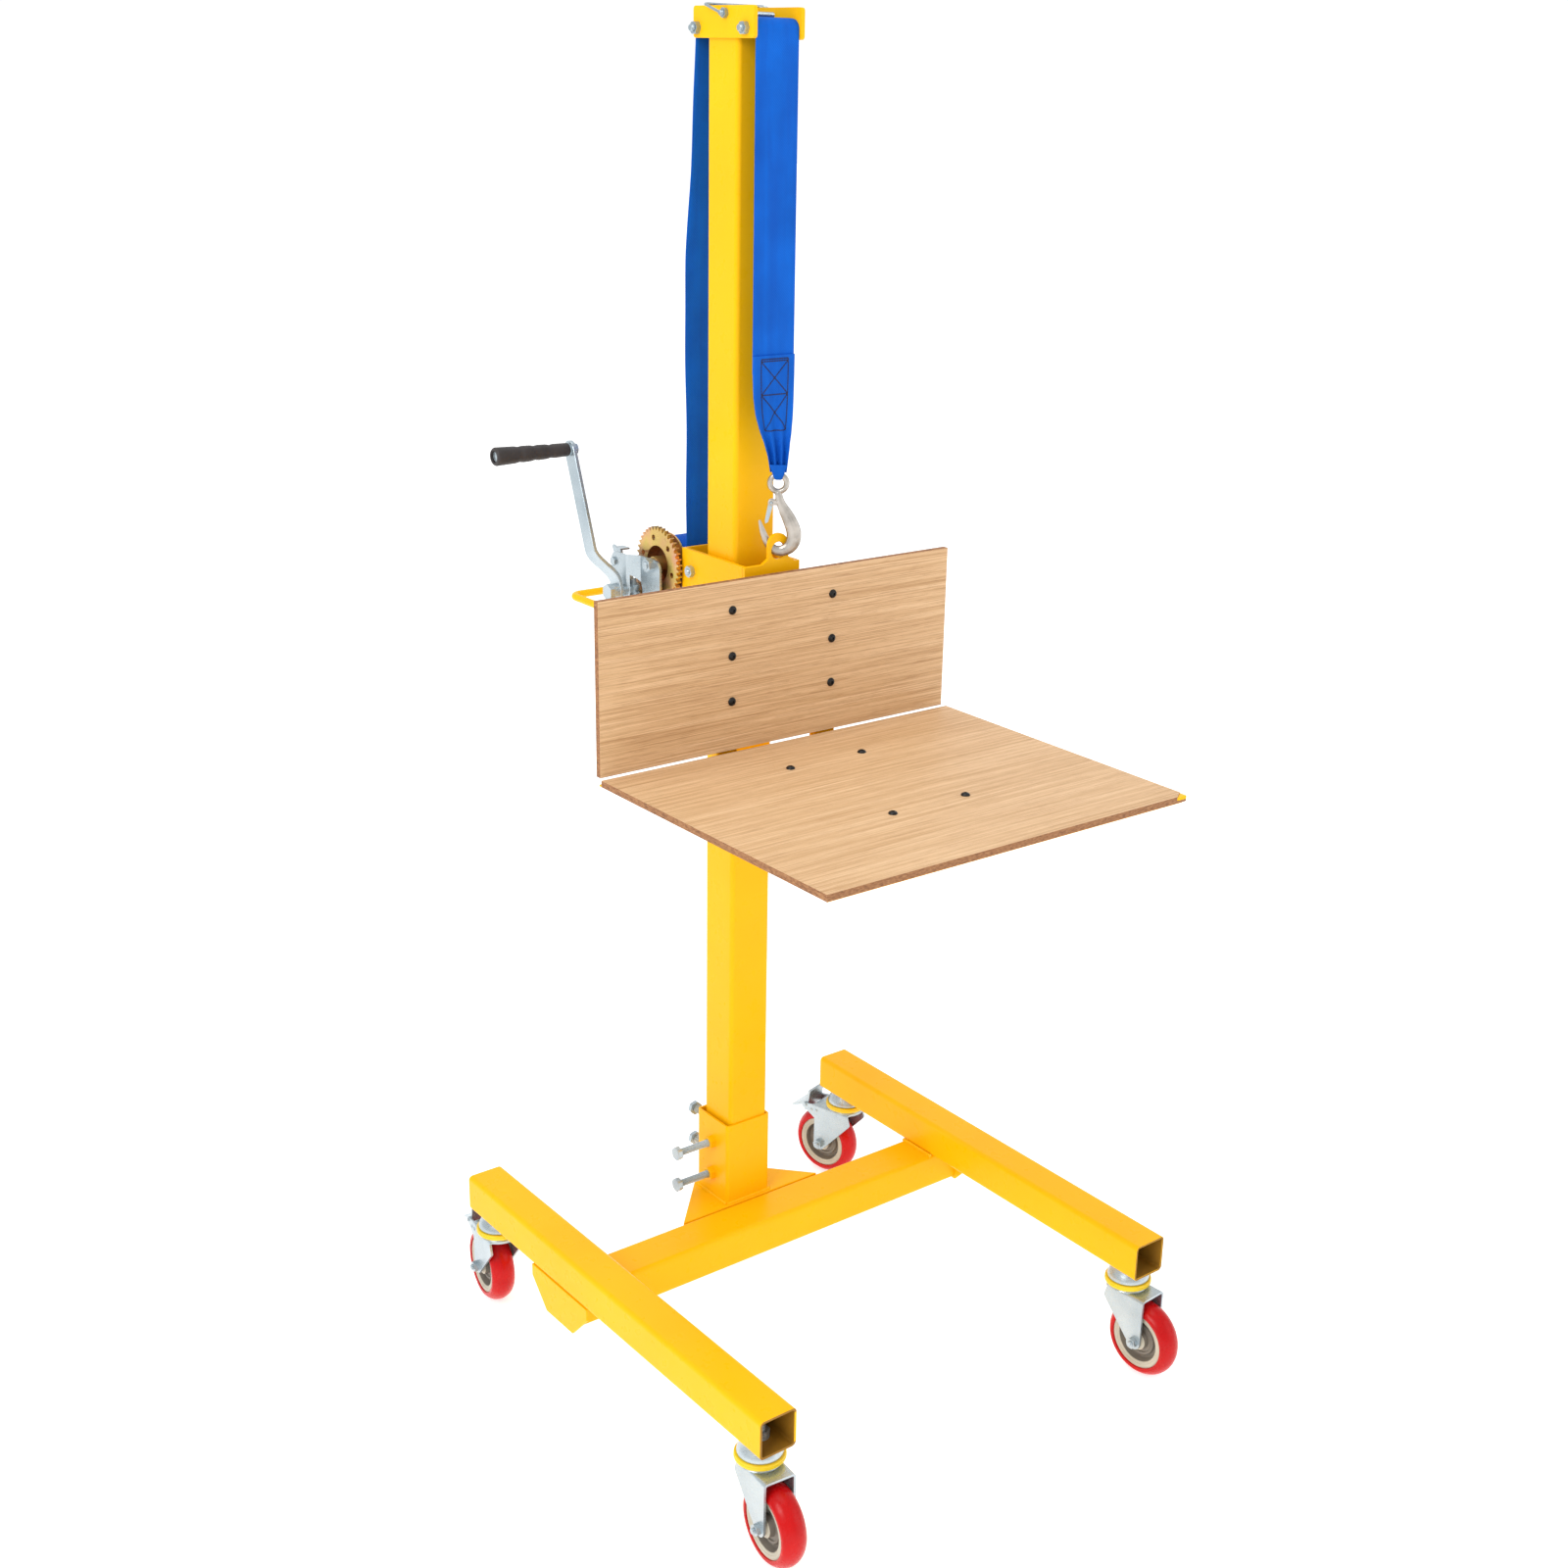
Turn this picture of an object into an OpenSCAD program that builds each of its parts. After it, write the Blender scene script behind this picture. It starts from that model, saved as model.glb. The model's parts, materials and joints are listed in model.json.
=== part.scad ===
// Hand-winch platform lift: H-shaped caster base, square mast, strap-hoisted carriage with two boards.
// Units are millimetres. +Z is up, +X is the operator's right seen from the deck, -Y is the deck side.
// The floor is z = 0 and the origin is under the middle of the whole lift.

/* [Base frame] */
// Overall width of the base across the side tubes
base_w = 640; // [600:10:700]
// Length of each side tube
side_len = 650; // [620:10:700]
// Outer size of the square side tubes
side_tube = 50; // [50:1:52]
// Wall thickness of the base tubes
tube_wall = 3; // [2:0.5:4]
// Depth of the cross tube, front to back
cross_d = 60; // [50:1:65]
// Height of the underside of the side tubes above the floor
frame_z = 142; // [142:1:150]
// Distance from the mast axis back to the origin plane
mast_y = 112; // [105:1:120]

/* [Mast] */
// Outer size of the square mast tube
mast_w = 60; // [60:0.1:60.4]
// Height of the top of the mast above the floor
mast_top = 1628; // [1600:1:1629]
// Outer size of the square socket that holds the mast
socket_w = 70; // [70:0.5:72]
// Height of the socket above the cross tube
socket_h = 116; // [110:1:118]

/* [Carriage and boards] */
// Outer width of the carriage box
carriage_w = 82; // [80:1:84]
// Underside of the carriage above the floor, in the stored pose
carriage_z0 = 873; // [870:1:876]
// Top edge of the carriage above the floor, in the stored pose
carriage_z1 = 1023; // [1020:1:1026]
// Width of both boards
board_w = 520; // [480:10:540]
// Depth of the deck board
deck_d = 420; // [400:10:430]
// Height of the back board
back_h = 208; // [200:1:215]
// Thickness of the boards
board_t = 8; // [6:1:8]
// Height of the deck surface above the floor
deck_z = 806; // [804:1:808]

/* [Winch and strap] */
// Teeth on the drum gear
gear_teeth = 40; // [40:1:40]
// Teeth on the pinion
pinion_teeth = 10; // [10:1:10]
// Gear module
gear_module = 2.25; // [2.2:0.01:2.25]
// Crank length from shaft to grip
crank_len = 183; // [150:1:190]
// Width of the webbing strap
strap_w = 59; // [50:1:59]
// Thickness of the webbing strap
strap_t = 1.8; // [1.5:0.1:1.9]

/* [Casters] */
// Wheel diameter
wheel_d = 102; // [100:1:102]
// Width of the tread
wheel_w = 32; // [28:1:32]
// Trail of the wheel behind the swivel axis
trail = 33; // [30:1:37]
// Swivel angles of the front left, front right, back left and back right casters
swivel = [5, -4, 8, -16]; // [-20:1:20]

/* [Hidden] */
$fn = 64;
fit = 0.05;                              // radial clearance of running fits
side_x = (base_w - side_tube) / 2;       // centre of each side tube
side_y1 = 158;                           // back end of the side tubes, from the mast axis
side_y0 = side_y1 - side_len;
cross_z = frame_z - 50;                  // underside of the cross tube
cross_y = -68;                           // middle of the cross tube
cross_h = 50;
stem_in = 33;                            // stem axis, in from the end of the side tube
socket_off = 2;                          // the clamp bolts push the mast this far off the socket axis
socket_z1 = frame_z + socket_h;
bolt_zs = [175, 222];                    // heights of the clamp bolts
m = mast_w / 2;
head_z0 = 1612;                          // lower edge of the head plates
head_z1 = 1646;
head_y0 = -66;
head_y1 = 50;
roller_r = 10;                           // head rollers
roller_z = 1622.5;
roller_y = [-51, 42];
tie_y = -13;
tie_z = 1638;
cw = carriage_w / 2;
plate = 5;                               // carriage plate thickness
car_y0 = -66;                            // outer faces of the carriage front and back plates
car_y1 = 65;
guide_r = 14.2;                          // guide rollers
guide_y = m + 0.3 + guide_r;
guide_z = [897, 997];                    // lower front roller, upper back roller
lug_x = 9;
lug_z = 1038;
lug_r = 10.5;
rail_d = 15;                             // depth of the rails behind the back board
board_y = car_y0 - rail_d;               // back face of the back board
deck_y = board_y - board_t - 2;          // back edge of the deck
tray_t = 2;
rail_x = 75;
arm_x = 54;
back_rows = [869, 925, 981];             // heights of the back board screws
deck_rows = [-88, -276];                 // deck screws, from the back edge of the deck
deck_over = 7;                           // the deck reaches this far past the back board on the right
arm_len = 340;
notch = [15, 10];                        // clipped front right corner of the deck
notch_deep = 5;
stud_r = 1;
screw_r = 3;
drum_y = 107;                            // winch drum axis
drum_z = 995;
centre_d = gear_module * (gear_teeth + pinion_teeth) / 2;
pinion_a = 43.5;                         // the pinion sits this many degrees below the drum axis
pin_y = drum_y + centre_d * cos(pinion_a);
pin_z = drum_z - centre_d * sin(pinion_a);
pawl_y = 171;                            // pawl pivot
pawl_z = 989;
coil_r = 33;                             // wound strap, outer radius
shaft_r = 7;
crank_a = 20.3;                            // the crank leans this far back from upright
crank_x = -80;                           // inner face of the crank at the shaft
crank_out = 27;                          // offset of the crank's S-bend
handle_z = 911;
handle_x = 50;
handle_y = 315;
handle_r = 5;
hook_a = -39;                            // the hook's plane, turned about the vertical
eye_z = 1119;
sewn_z = 1269;                           // top of the sewn strap end
CASTER = ["fl", "fr", "bl", "br"];

YELLOW = "gold";
ZINC = "gainsboro";

// ---- shared shapes ----

// Rectangle with round corners, made of exact arcs
module rrect(w, h, r) {
    square([w - 2 * r, h], center = true);
    square([w, h - 2 * r], center = true);
    for (x = [-1, 1], y = [-1, 1]) translate([x * (w / 2 - r), y * (h / 2 - r)]) circle(r);
}

// Straight tube along Z with round corners
module box_tube(w, h, len, r = 6, wall = tube_wall)
    linear_extrude(len) difference() {
        rrect(w, h, r);
        rrect(w - 2 * wall, h - 2 * wall, r - wall);
    }

// Box between two corners
module block(a, b) translate(a) cube([b[0] - a[0], b[1] - a[1], b[2] - a[2]]);

// Cylinder along +X from x0 to x1
module rod_x(x0, x1, r) translate([x0, 0, 0]) rotate([0, 90, 0]) cylinder(h = x1 - x0, r = r);

// Hexagon along +X, size across flats
module hex_x(x0, x1, af) translate([x0, 0, 0]) rotate([0, 90, 0]) cylinder(h = x1 - x0, r = af / sqrt(3), $fn = 6);

// Bolt along +X: head outside xh, nut outside xn, thread end past the nut
module bolt_x(xn, xh, r, af, tail = 3) {
    rod_x(xn - 0.8 * 2 * r - tail, xh, r);
    hex_x(xn - 0.8 * 2 * r, xn, af);
    hex_x(xh, xh + 0.65 * 2 * r, af);
}

// Outline in the YZ plane, thick along X from x0 to x1
module plate_yz(x0, x1) translate([x0, 0, 0]) rotate([90, 0, 90]) linear_extrude(x1 - x0) children();

// Outline in the XZ plane, thick along Y from y0 to y1
module plate_xz(y0, y1) translate([0, y1, 0]) rotate([90, 0, 0]) linear_extrude(y1 - y0) children();

module at_mast() translate([0, mast_y, 0]) children();

// ---- base ----

module side_tube_at(sx) color(YELLOW) at_mast() difference() {
    translate([sx * side_x, side_y1, frame_z + side_tube / 2]) rotate([90, 0, 0])
        box_tube(side_tube, side_tube, side_len);
    for (y = stem_ys()) translate([sx * side_x, y, frame_z - 1]) cylinder(h = tube_wall + 2, r = 6.1);
}

function stem_ys() = [side_y0 + stem_in, side_y1 - stem_in];

module cross_tube() color(YELLOW) at_mast()
    translate([-base_w / 2 + 4, cross_y, cross_z + cross_h / 2]) rotate([90, 0, 90])
        box_tube(cross_d, cross_h, base_w - 8);

// Hexagonal plates that close the ends of the cross tube
module end_gussets() color(YELLOW) at_mast() {
    top = 65;
    low = cross_d / 2 + 1;
    for (x = [-base_w / 2, base_w / 2 - 4]) plate_yz(x, x + 4)
        polygon([[cross_y - top, frame_z], [cross_y + top, frame_z], [cross_y + top, frame_z - 16],
            [cross_y + low, cross_z - 2], [cross_y - low, cross_z - 2], [cross_y - top, frame_z - 16]]);
}

// Trapezoid plate behind the cross tube, with two ribs under it
module mast_plate() color(YELLOW) at_mast() {
    y0 = cross_y + cross_d / 2;
    translate([0, 0, frame_z - 6]) linear_extrude(6)
        polygon([[-111, y0], [111, y0], [38, y0 + 80], [-38, y0 + 80]]);
    for (x = [-34, 28]) plate_yz(x, x + 6)
        polygon([[y0, frame_z - 6], [y0 + 72, frame_z - 6], [y0 + 60, frame_z - 14], [y0, cross_z + 6]]);
}

function socket_c() = [-socket_off, socket_off];

module mast_socket() color(YELLOW) at_mast() {
    c = socket_c();
    s = socket_w / 2;
    difference() {
        translate([c[0], c[1], frame_z]) box_tube(socket_w, socket_w, socket_h, r = 5);
        for (z = bolt_zs) {
            translate([c[0], c[1], z]) rod_x(-s - 1, -s + 5, 5.3);
            translate([c[0], c[1], z]) rotate([0, 0, -90]) rod_x(-s - 1, -s + 5, 5.3);
        }
    }
    for (z = bolt_zs, a = [0, -90]) translate([c[0], c[1], z]) rotate([0, 0, a]) difference() {
        hex_x(-s - 8, -s, 17);
        rod_x(-s - 9, -s + 1, 5.3);
    }
}

// Long clamp bolts: two press on the left face of the mast, two on its back face
module clamp_bolts() color(ZINC) at_mast() {
    c = socket_c();
    for (z = bolt_zs) {
        translate([0, c[1], z]) clamp_bolt();
        translate([c[0], 0, z]) rotate([0, 0, -90]) clamp_bolt();
    }
}

module clamp_bolt() {
    rod_x(-m - 60, -m, 5);
    hex_x(-m - 66.5, -m - 60, 17);
}

// ---- mast and head ----

module mast_tube() color(YELLOW) at_mast() translate([0, 0, frame_z])
    box_tube(mast_w, mast_w, mast_top - frame_z, r = 6);

module head_plates() color(YELLOW) at_mast() for (x = [-m - 5, m]) difference() {
    plate_yz(x, x + 5) translate([(head_y0 + head_y1) / 2, (head_z0 + head_z1) / 2])
        rrect(head_y1 - head_y0, head_z1 - head_z0, 4);
    for (y = roller_y) translate([x - 1, y, roller_z]) rod_x(0, 7, 4.02);
    translate([x - 1, tie_y, tie_z]) rod_x(0, 7, 3.02);
}

// Roller axles and the tie bolt across the head
module head_bolts() color(ZINC) at_mast() {
    for (y = roller_y) translate([0, y, roller_z]) bolt_x(-m - 5, m + 5, 4, 13, tail = 4);
    translate([0, tie_y, tie_z]) {
        rod_x(-m - 14, m + 14, 3);
        for (x = [-m - 10, m + 5]) hex_x(x, x + 5, 10);
    }
}

// Wire bail hooked over the ends of the tie bolt, lying back on the head plates
module head_bail() color(ZINC) at_mast() {
    wire = 1.5;
    bend = 5;
    out = m + 12;
    reach = 34;
    lean = asin((head_z1 + wire + 0.1 - tie_z) / reach);
    translate([0, tie_y, tie_z]) rotate([lean, 0, 0]) {
        for (s = [-1, 1]) translate([s * out, 3.05, 0]) rotate([-90, 0, 0])
            cylinder(h = reach - bend - 3.05, r = wire);
        for (s = [-1, 1]) translate([s * (out - bend), reach - bend, 0]) rotate([0, 0, s < 0 ? 90 : 0])
            rotate_extrude(angle = 90) translate([bend, 0]) circle(wire, $fn = 24);
        translate([0, reach, 0]) rod_x(-out + bend, out - bend, wire);
    }
}

module head_roller(y) color("dimgray") at_mast() translate([0, y, roller_z]) difference() {
    rod_x(-m + 0.7, m - 0.7, roller_r);
    rod_x(-m, m, 4 + fit);
}

// ---- casters ----

// Children in a caster's own frame: swivel axis at x = y = 0, wheel trailing along +Y
module at_caster(i) {
    front = i < 2;
    sx = i % 2 == 0 ? -1 : 1;
    at_mast() translate([sx * side_x, stem_ys()[front ? 0 : 1], 0])
        rotate([0, 0, (front ? 180 : 0) - swivel[i]]) children();
}

// Stem, its nut inside the tube and the pressed dome under the tube
module caster_stems() color(ZINC) for (i = [0:3]) at_caster(i) {
    translate([0, 0, 108]) cylinder(h = frame_z + tube_wall + 17 - 108, r = 6);
    translate([0, 0, 105]) cylinder(h = 6.5, r = 10);
    translate([0, 0, 126]) cylinder(h = frame_z - 126, r1 = 27, r2 = 21);
    translate([0, 0, frame_z + tube_wall]) cylinder(h = 10, r = 19 / sqrt(3), $fn = 6);
}

module caster_rings() color("gold") for (i = [0:3]) at_caster(i)
    translate([0, 0, 119.3]) difference() {
        cylinder(h = 6.7, r = 30);
        translate([0, 0, -1]) cylinder(h = 9, r = 6 + fit);
    }

fork_in = wheel_w / 2 + 2;
fork_out = fork_in + 3;
axle_z = wheel_d / 2;
brake_y = 27;                            // brake pin, behind the wheel axle
brake_z = 108;
brake_r = 2.5;

module fork(i) color(ZINC) at_caster(i) {
    braked = i >= 2;
    difference() {
        union() {
            for (x = [-fork_out, fork_in]) plate_yz(x, x + 3) fork_side(braked);
            translate([0, 0, 112]) linear_extrude(3) {
                translate([-fork_out, -2]) square([2 * fork_out, trail + 12]);
                intersection() {
                    circle(26);
                    translate([-fork_out, -26]) square([2 * fork_out, 30]);
                }
            }
            translate([0, 0, 115]) cylinder(h = 4, r1 = 26, r2 = 24);
        }
        translate([0, 0, 100]) cylinder(h = 30, r = 6 + fit);
        translate([0, trail, axle_z]) rod_x(-30, 30, 4.02);
        if (braked) translate([0, trail + brake_y, brake_z]) rod_x(-30, 30, brake_r + fit);
    }
}

// Side of the fork: wide at the top, tapering to the axle; a braked fork has an ear for the pedal
module fork_side(braked) {
    polygon([[-15, 115], [trail + 10, 115], [trail + 10, axle_z], [trail - 7, axle_z - 7.2],
        [-21, 96]]);
    translate([trail, axle_z]) circle(10);
    if (braked) polygon([[trail + 5, 114], [trail + 24, 115.5], [trail + 33, 111], [trail + 33, 104],
        [trail + 26, 101], [trail + 5, 88]]);
}

module axle(i) color(ZINC) at_caster(i) translate([0, trail, axle_z])
    rotate([0, 0, i < 2 ? 180 : 0]) bolt_x(-fork_out, fork_out, 4, 13, tail = 3);

module at_wheel(i) at_caster(i) translate([0, trail, axle_z]) rotate([0, 90, 0]) children();

module hub(i) color("tan") at_wheel(i) difference() {
    rotate_extrude($fn = 96) polygon([[4 + fit, -17.5], [9, -17.5], [13, -15], [15, -6], [27, -4], [30, -13],
        [36, -14.5], [38, -14], [38, 14], [36, 14.5], [30, 13], [27, 4], [15, 6], [13, 15], [9, 17.5],
        [4 + fit, 17.5]]);
}

module tyre(i) color("red") at_wheel(i) rotate_extrude($fn = 96) difference() {
    intersection() {
        translate([38, -wheel_w / 2]) square([wheel_d / 2 - 38, wheel_w]);
        translate([wheel_d / 2 - 19, 0]) circle(19);
    }
    translate([0, -wheel_w]) square([38, 2 * wheel_w]);
}

// Rocker brake pedal on its pin: pressing the rear wing down swings the cam against the tyre
module brake(i) color("silver") at_caster(i) translate([0, trail + brake_y, brake_z]) {
    half = fork_in - 0.5;
    rod_x(-fork_out - 2, fork_out + 2, brake_r);
    plate_yz(-half, half) polygon([[-3, 3.5], [-6, 22], [-3, 23.5], [3.5, 5], [9, 2.5], [27, -8], [26, -11],
        [8, -3.5], [4, -11], [0, -11], [-3.5, -3]]);
}

// ---- carriage ----

module carriage_sides() color(YELLOW) at_mast() for (x = [-cw, cw - plate]) difference() {
    block([x, car_y0 + plate, carriage_z0], [x + plate, car_y1 - plate, carriage_z1]);
    translate([x - 1, guide_y, guide_z[1]]) rod_x(0, plate + 2, 4.02);
    translate([x - 1, -guide_y, guide_z[0]]) rod_x(0, plate + 2, 4.02);
}

// Front plate: wings for the board rails, and the lug for the lifting hook
module carriage_front() color(YELLOW) at_mast() plate_xz(car_y0, car_y0 + plate) difference() {
    wing = 92;
    shoulder = carriage_z0 + 127;
    union() {
        polygon([[-wing, carriage_z0], [wing, carriage_z0], [wing, shoulder], [cw, shoulder], [cw, carriage_z1],
            [lug_x + 24, carriage_z1], [lug_x + 15, carriage_z1 + 6], [lug_x + 15, lug_z + 6],
            [lug_x - 15, lug_z + 6], [lug_x - 15, carriage_z1 + 6], [lug_x - 24, carriage_z1],
            [-cw, carriage_z1], [-cw, shoulder], [-wing, shoulder]]);
        translate([lug_x, lug_z + 6]) circle(15);
    }
    translate([lug_x, lug_z]) circle(lug_r);
}

// Back plate with the winch shelf and its two ribs
module carriage_back() color(YELLOW) at_mast() {
    block([-cw, car_y1 - plate, carriage_z0], [cw, car_y1, carriage_z1]);
    difference() {
        block([-62, car_y1, 917], [45, 180, 922]);
        for (p = shelf_bolts()) translate([p[0], p[1], 910]) cylinder(h = 20, r = 4.02);
    }
    for (x = [-28, 17]) plate_yz(x, x + 6)
        polygon([[car_y1, 917], [160, 917], [150, 911], [car_y1, 877]]);
}

function shelf_bolts() = [for (x = [-36.5, 31.5], y = [100, 165]) [x, y]];

// Slide pads between the carriage sides and the mast
module guide_pads() color("ivory") at_mast() for (s = [-1, 1], z = [carriage_z0 + 6, carriage_z1 - 36])
    translate([s * (m + 0.4 + (cw - plate - m - 0.4) / 2), 0, z + 15])
        cube([cw - plate - m - 0.4, 50, 30], center = true);

// Guide roller axles, drum axle, winch spacers and shelf bolts
module carriage_bolts() color(ZINC) at_mast() {
    translate([0, guide_y, guide_z[1]]) bolt_x(-cw, cw, 4, 13, tail = 2);
    translate([0, -guide_y, guide_z[0]]) bolt_x(-cw, cw, 4, 13, tail = 2);
    translate([0, drum_y, drum_z]) bolt_x(-60, 43, 5, 16, tail = 2);
    translate([0, pawl_y, pawl_z]) {
        rod_x(-75, -60, 4);
        for (x = [-76, -62.3]) hex_x(x, x + 3, 10);
    }
    for (p = shelf_bolts()) translate([p[0], p[1], 917]) rotate([0, -90, 0]) {
        rod_x(-5, 13, 4);
        hex_x(-5.5, 0, 13);
        hex_x(8, 13, 13);
    }
}

module guide_roller(y, z) color("dimgray") at_mast() translate([0, y, z]) difference() {
    rod_x(-cw + plate + 1, cw - plate - 1, guide_r);
    rod_x(-cw, cw, 4 + fit);
}

// U-shaped rod behind the winch, for pushing and pulling the lift
module push_handle() color(YELLOW) at_mast() translate([0, 0, handle_z]) {
    bend = 14;
    for (s = [-1, 1]) {
        translate([s * handle_x, car_y1, 0]) rotate([-90, 0, 0])
            cylinder(h = handle_y - bend - car_y1, r = handle_r);
        translate([s * (handle_x - bend), handle_y - bend, 0]) rotate([0, 0, s < 0 ? 90 : 0])
            rotate_extrude(angle = 90) translate([bend, 0]) circle(handle_r, $fn = 32);
    }
    translate([0, handle_y, 0]) rod_x(-handle_x + bend, handle_x - bend, handle_r);
    for (s = [-1, 1]) block([s * (handle_x - 2) - 6, car_y1, -6], [s * (handle_x - 2) + 6, car_y1 + 4, 6]);
}

// Rails behind the back board, a bottom rail between them and two braced arms under the deck
module board_frame() color(YELLOW) at_mast() {
    top = deck_z - board_t - tray_t;
    foot = top - 44;
    bite = 1;                            // how far each welded end reaches into its neighbour's wall
    for (s = [-1, 1]) {
        difference() {
            translate([s * rail_x, board_y + rail_d / 2, foot]) box_tube(30, rail_d, 1000 - foot, r = 3, wall = 2);
            for (z = back_rows) translate([s * rail_x, board_y - 1, z]) rotate([-90, 0, 0])
                cylinder(h = 4, r = screw_r + 0.05);
        }
        difference() {
            translate([s * arm_x, board_y + bite, top - 10]) rotate([90, 0, 0])
                box_tube(30, 20, arm_len, r = 3, wall = 2);
            for (y = deck_rows) translate([s * arm_x, deck_y + y, top - 3])
                cylinder(h = 4, r = screw_r + 0.05);
        }
        plate_yz(s * arm_x - 3, s * arm_x + 3)
            polygon([[board_y + bite, top - 20 + bite], [board_y - 60, top - 20 + bite],
                [board_y - 60, top - 23], [board_y - 6, foot + 3], [board_y + bite, foot + 3]]);
    }
    translate([-rail_x + 15 - bite, board_y + rail_d / 2, top - 22]) rotate([90, 0, 90])
        box_tube(rail_d, 44, 2 * (rail_x - 15 + bite), r = 3, wall = 2);
}

// Steel sheet under the deck, with a stud that holds a corner piece in the clipped corner
module deck_tray() color(YELLOW) at_mast() {
    difference() {
        block([-board_w / 2 + 3, deck_y - deck_d + 3, deck_z - board_t - tray_t],
            [board_w / 2 + deck_over - 3, board_y - 1, deck_z - board_t]);
        deck_holes();
    }
    translate([0, 0, deck_z - notch_deep]) linear_extrude(notch_deep - 1) deck_corner();
    at_stud() cylinder(h = board_t - notch_deep + 1, r = stud_r);
}

module deck_corner() polygon([deck_tip() - [notch[0], 0], deck_tip(), deck_tip() + [0, notch[1]]]);
function deck_tip() = [board_w / 2 + deck_over, deck_y - deck_d];
module at_stud() translate([deck_tip()[0] - 5.5, deck_tip()[1] + 4.3, deck_z - board_t - 0.5]) children();

module deck_holes() for (s = [-1, 1], y = deck_rows)
    translate([s * arm_x, deck_y + y, deck_z - 20]) cylinder(h = 30, r = screw_r + 0.05);

module back_board() color("burlywood") at_mast() difference() {
    block([-board_w / 2, board_y - board_t, deck_z + 2], [board_w / 2, board_y, deck_z + 2 + back_h]);
    for (s = [-1, 1], z = back_rows) translate([s * rail_x, board_y - 20, z]) rotate([-90, 0, 0])
        cylinder(h = 30, r = screw_r + 0.05);
}

// The front right corner of the deck is clipped through its upper layers only
module deck_board() color("burlywood") at_mast() difference() {
    block([-board_w / 2, deck_y - deck_d, deck_z - board_t], [board_w / 2 + deck_over, deck_y, deck_z]);
    translate([0, 0, deck_z - notch_deep]) linear_extrude(notch_deep + 1) polygon([
        deck_tip() - [notch[0] * 1.1, notch[1] * 0.1], deck_tip() + [notch[0] * 0.1, -notch[1] * 0.1],
        deck_tip() + [notch[0] * 0.1, notch[1] * 1.1], deck_tip() + [0, notch[1]], deck_tip() - [notch[0], 0]]);
    at_stud() cylinder(h = board_t, r = stud_r + 0.05);
    deck_holes();
}

module board_screws() color("black") at_mast() {
    for (s = [-1, 1], z = back_rows) translate([s * rail_x, board_y - board_t, z]) rotate([90, 0, 0]) screw();
    for (s = [-1, 1], y = deck_rows) translate([s * arm_x, deck_y + y, deck_z]) screw();
}

// Button-head screw, head up
module screw() {
    translate([0, 0, -board_t - 6]) cylinder(h = board_t + 6, r = screw_r);
    rotate_extrude() polygon([[0, 0], [5.4, 0], [5.2, 1.2], [4, 2.5], [2.2, 3.1], [2.2, 1.4], [0, 1.4]]);
}

// ---- winch ----

// Folded frame: a plain right side and a left side that steps out round the ratchet, on one web.
// The step has a window for the ratchet wheel
module winch_frame() color(ZINC) at_mast() difference() {
    union() {
        plate_yz(40, 43) winch_side();
        intersection() {
            plate_yz(-80, -50) winch_side();
            translate([0, 0, 900]) linear_extrude(140) polygon([[-60, 80], [-57, 80], [-57, 131], [-70, 145],
                [-70, 190], [-73, 190], [-73, 144], [-60, 130]]);
        }
        translate([0, 0, 922]) linear_extrude(3) polygon([[-59, 87], [42, 87], [42, 178], [-72, 178],
            [-72, 144], [-59, 130]]);
    }
    for (p = shelf_bolts()) translate([p[0], p[1], 915]) cylinder(h = 20, r = 4.02);
    translate([0, drum_y, drum_z]) rod_x(-80, 60, 5.02);
    translate([0, pin_y, pin_z]) rod_x(-80, 60, shaft_r + fit);
    translate([0, pawl_y, pawl_z]) rod_x(-80, -50, 4.02);
    translate([0, pin_y, pin_z]) rod_x(-69.5, -55, 21.5);
}

module winch_side() {
    y0 = 87;
    y1 = 178;
    z1 = 1002;
    r = 12;
    translate([y0, 922]) square([y1 - y0, z1 - r - 922]);
    translate([y0 + r, 922]) square([y1 - y0 - 2 * r, z1 - 922]);
    for (y = [y0 + r, y1 - r]) translate([y, z1 - r]) circle(r);
}

module at_drum() at_mast() translate([0, drum_y, drum_z]) children();

module winch_drum() color("goldenrod") at_drum() difference() {
    union() {
        rod_x(-33, 33, 15);
        for (x = [-33, 31]) rod_x(x, x + 2, 38);
        rod_x(33, 39.5, 10);
        rod_x(-56.5, -33, 10);
    }
    rod_x(-70, 60, 5 + fit);
}

// Tooth outline of a spur gear as a list of points; flank is the tooth's width share of the pitch
function gear_points(n, mod, add, ded, flank) = let (rp = n * mod / 2, p = 360 / n)
    [for (i = [0:n - 1], q = [[-0.50 * flank - 0.10, -ded], [-0.5 * flank, -0.1], [-0.27 * flank, add],
        [0.27 * flank, add], [0.5 * flank, -0.1], [0.50 * flank + 0.10, -ded]])
        let (r = rp + q[1] * mod, a = (i + q[0]) * p) [r * cos(a), r * sin(a)]];

// Dished gear: toothed rim outside, cup pressed in towards the drum
module drum_gear() color("goldenrod") at_drum() difference() {
    union() {
        plate_yz(-50, -44) difference() {
            rotate(-pinion_a) polygon(gear_points(gear_teeth, gear_module, 0.85, 1.1, 0.40));
            circle(23);
            for (a = [15:60:359]) rotate(a) translate([33, 0]) circle(3.6);
        }
        rotate([0, 90, 0]) rotate_extrude() polygon([[10.05, -36], [10.05, -33.2], [22, -33.2], [26, -44],
            [23, -44], [20, -36]]);
    }
}

module strap_coil() color("royalblue") at_drum() difference() {
    rod_x(-strap_w / 2, strap_w / 2, coil_r);
    rod_x(-strap_w, strap_w, 15.1);
}

module at_pinion() at_mast() translate([0, pin_y, pin_z]) children();

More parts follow.
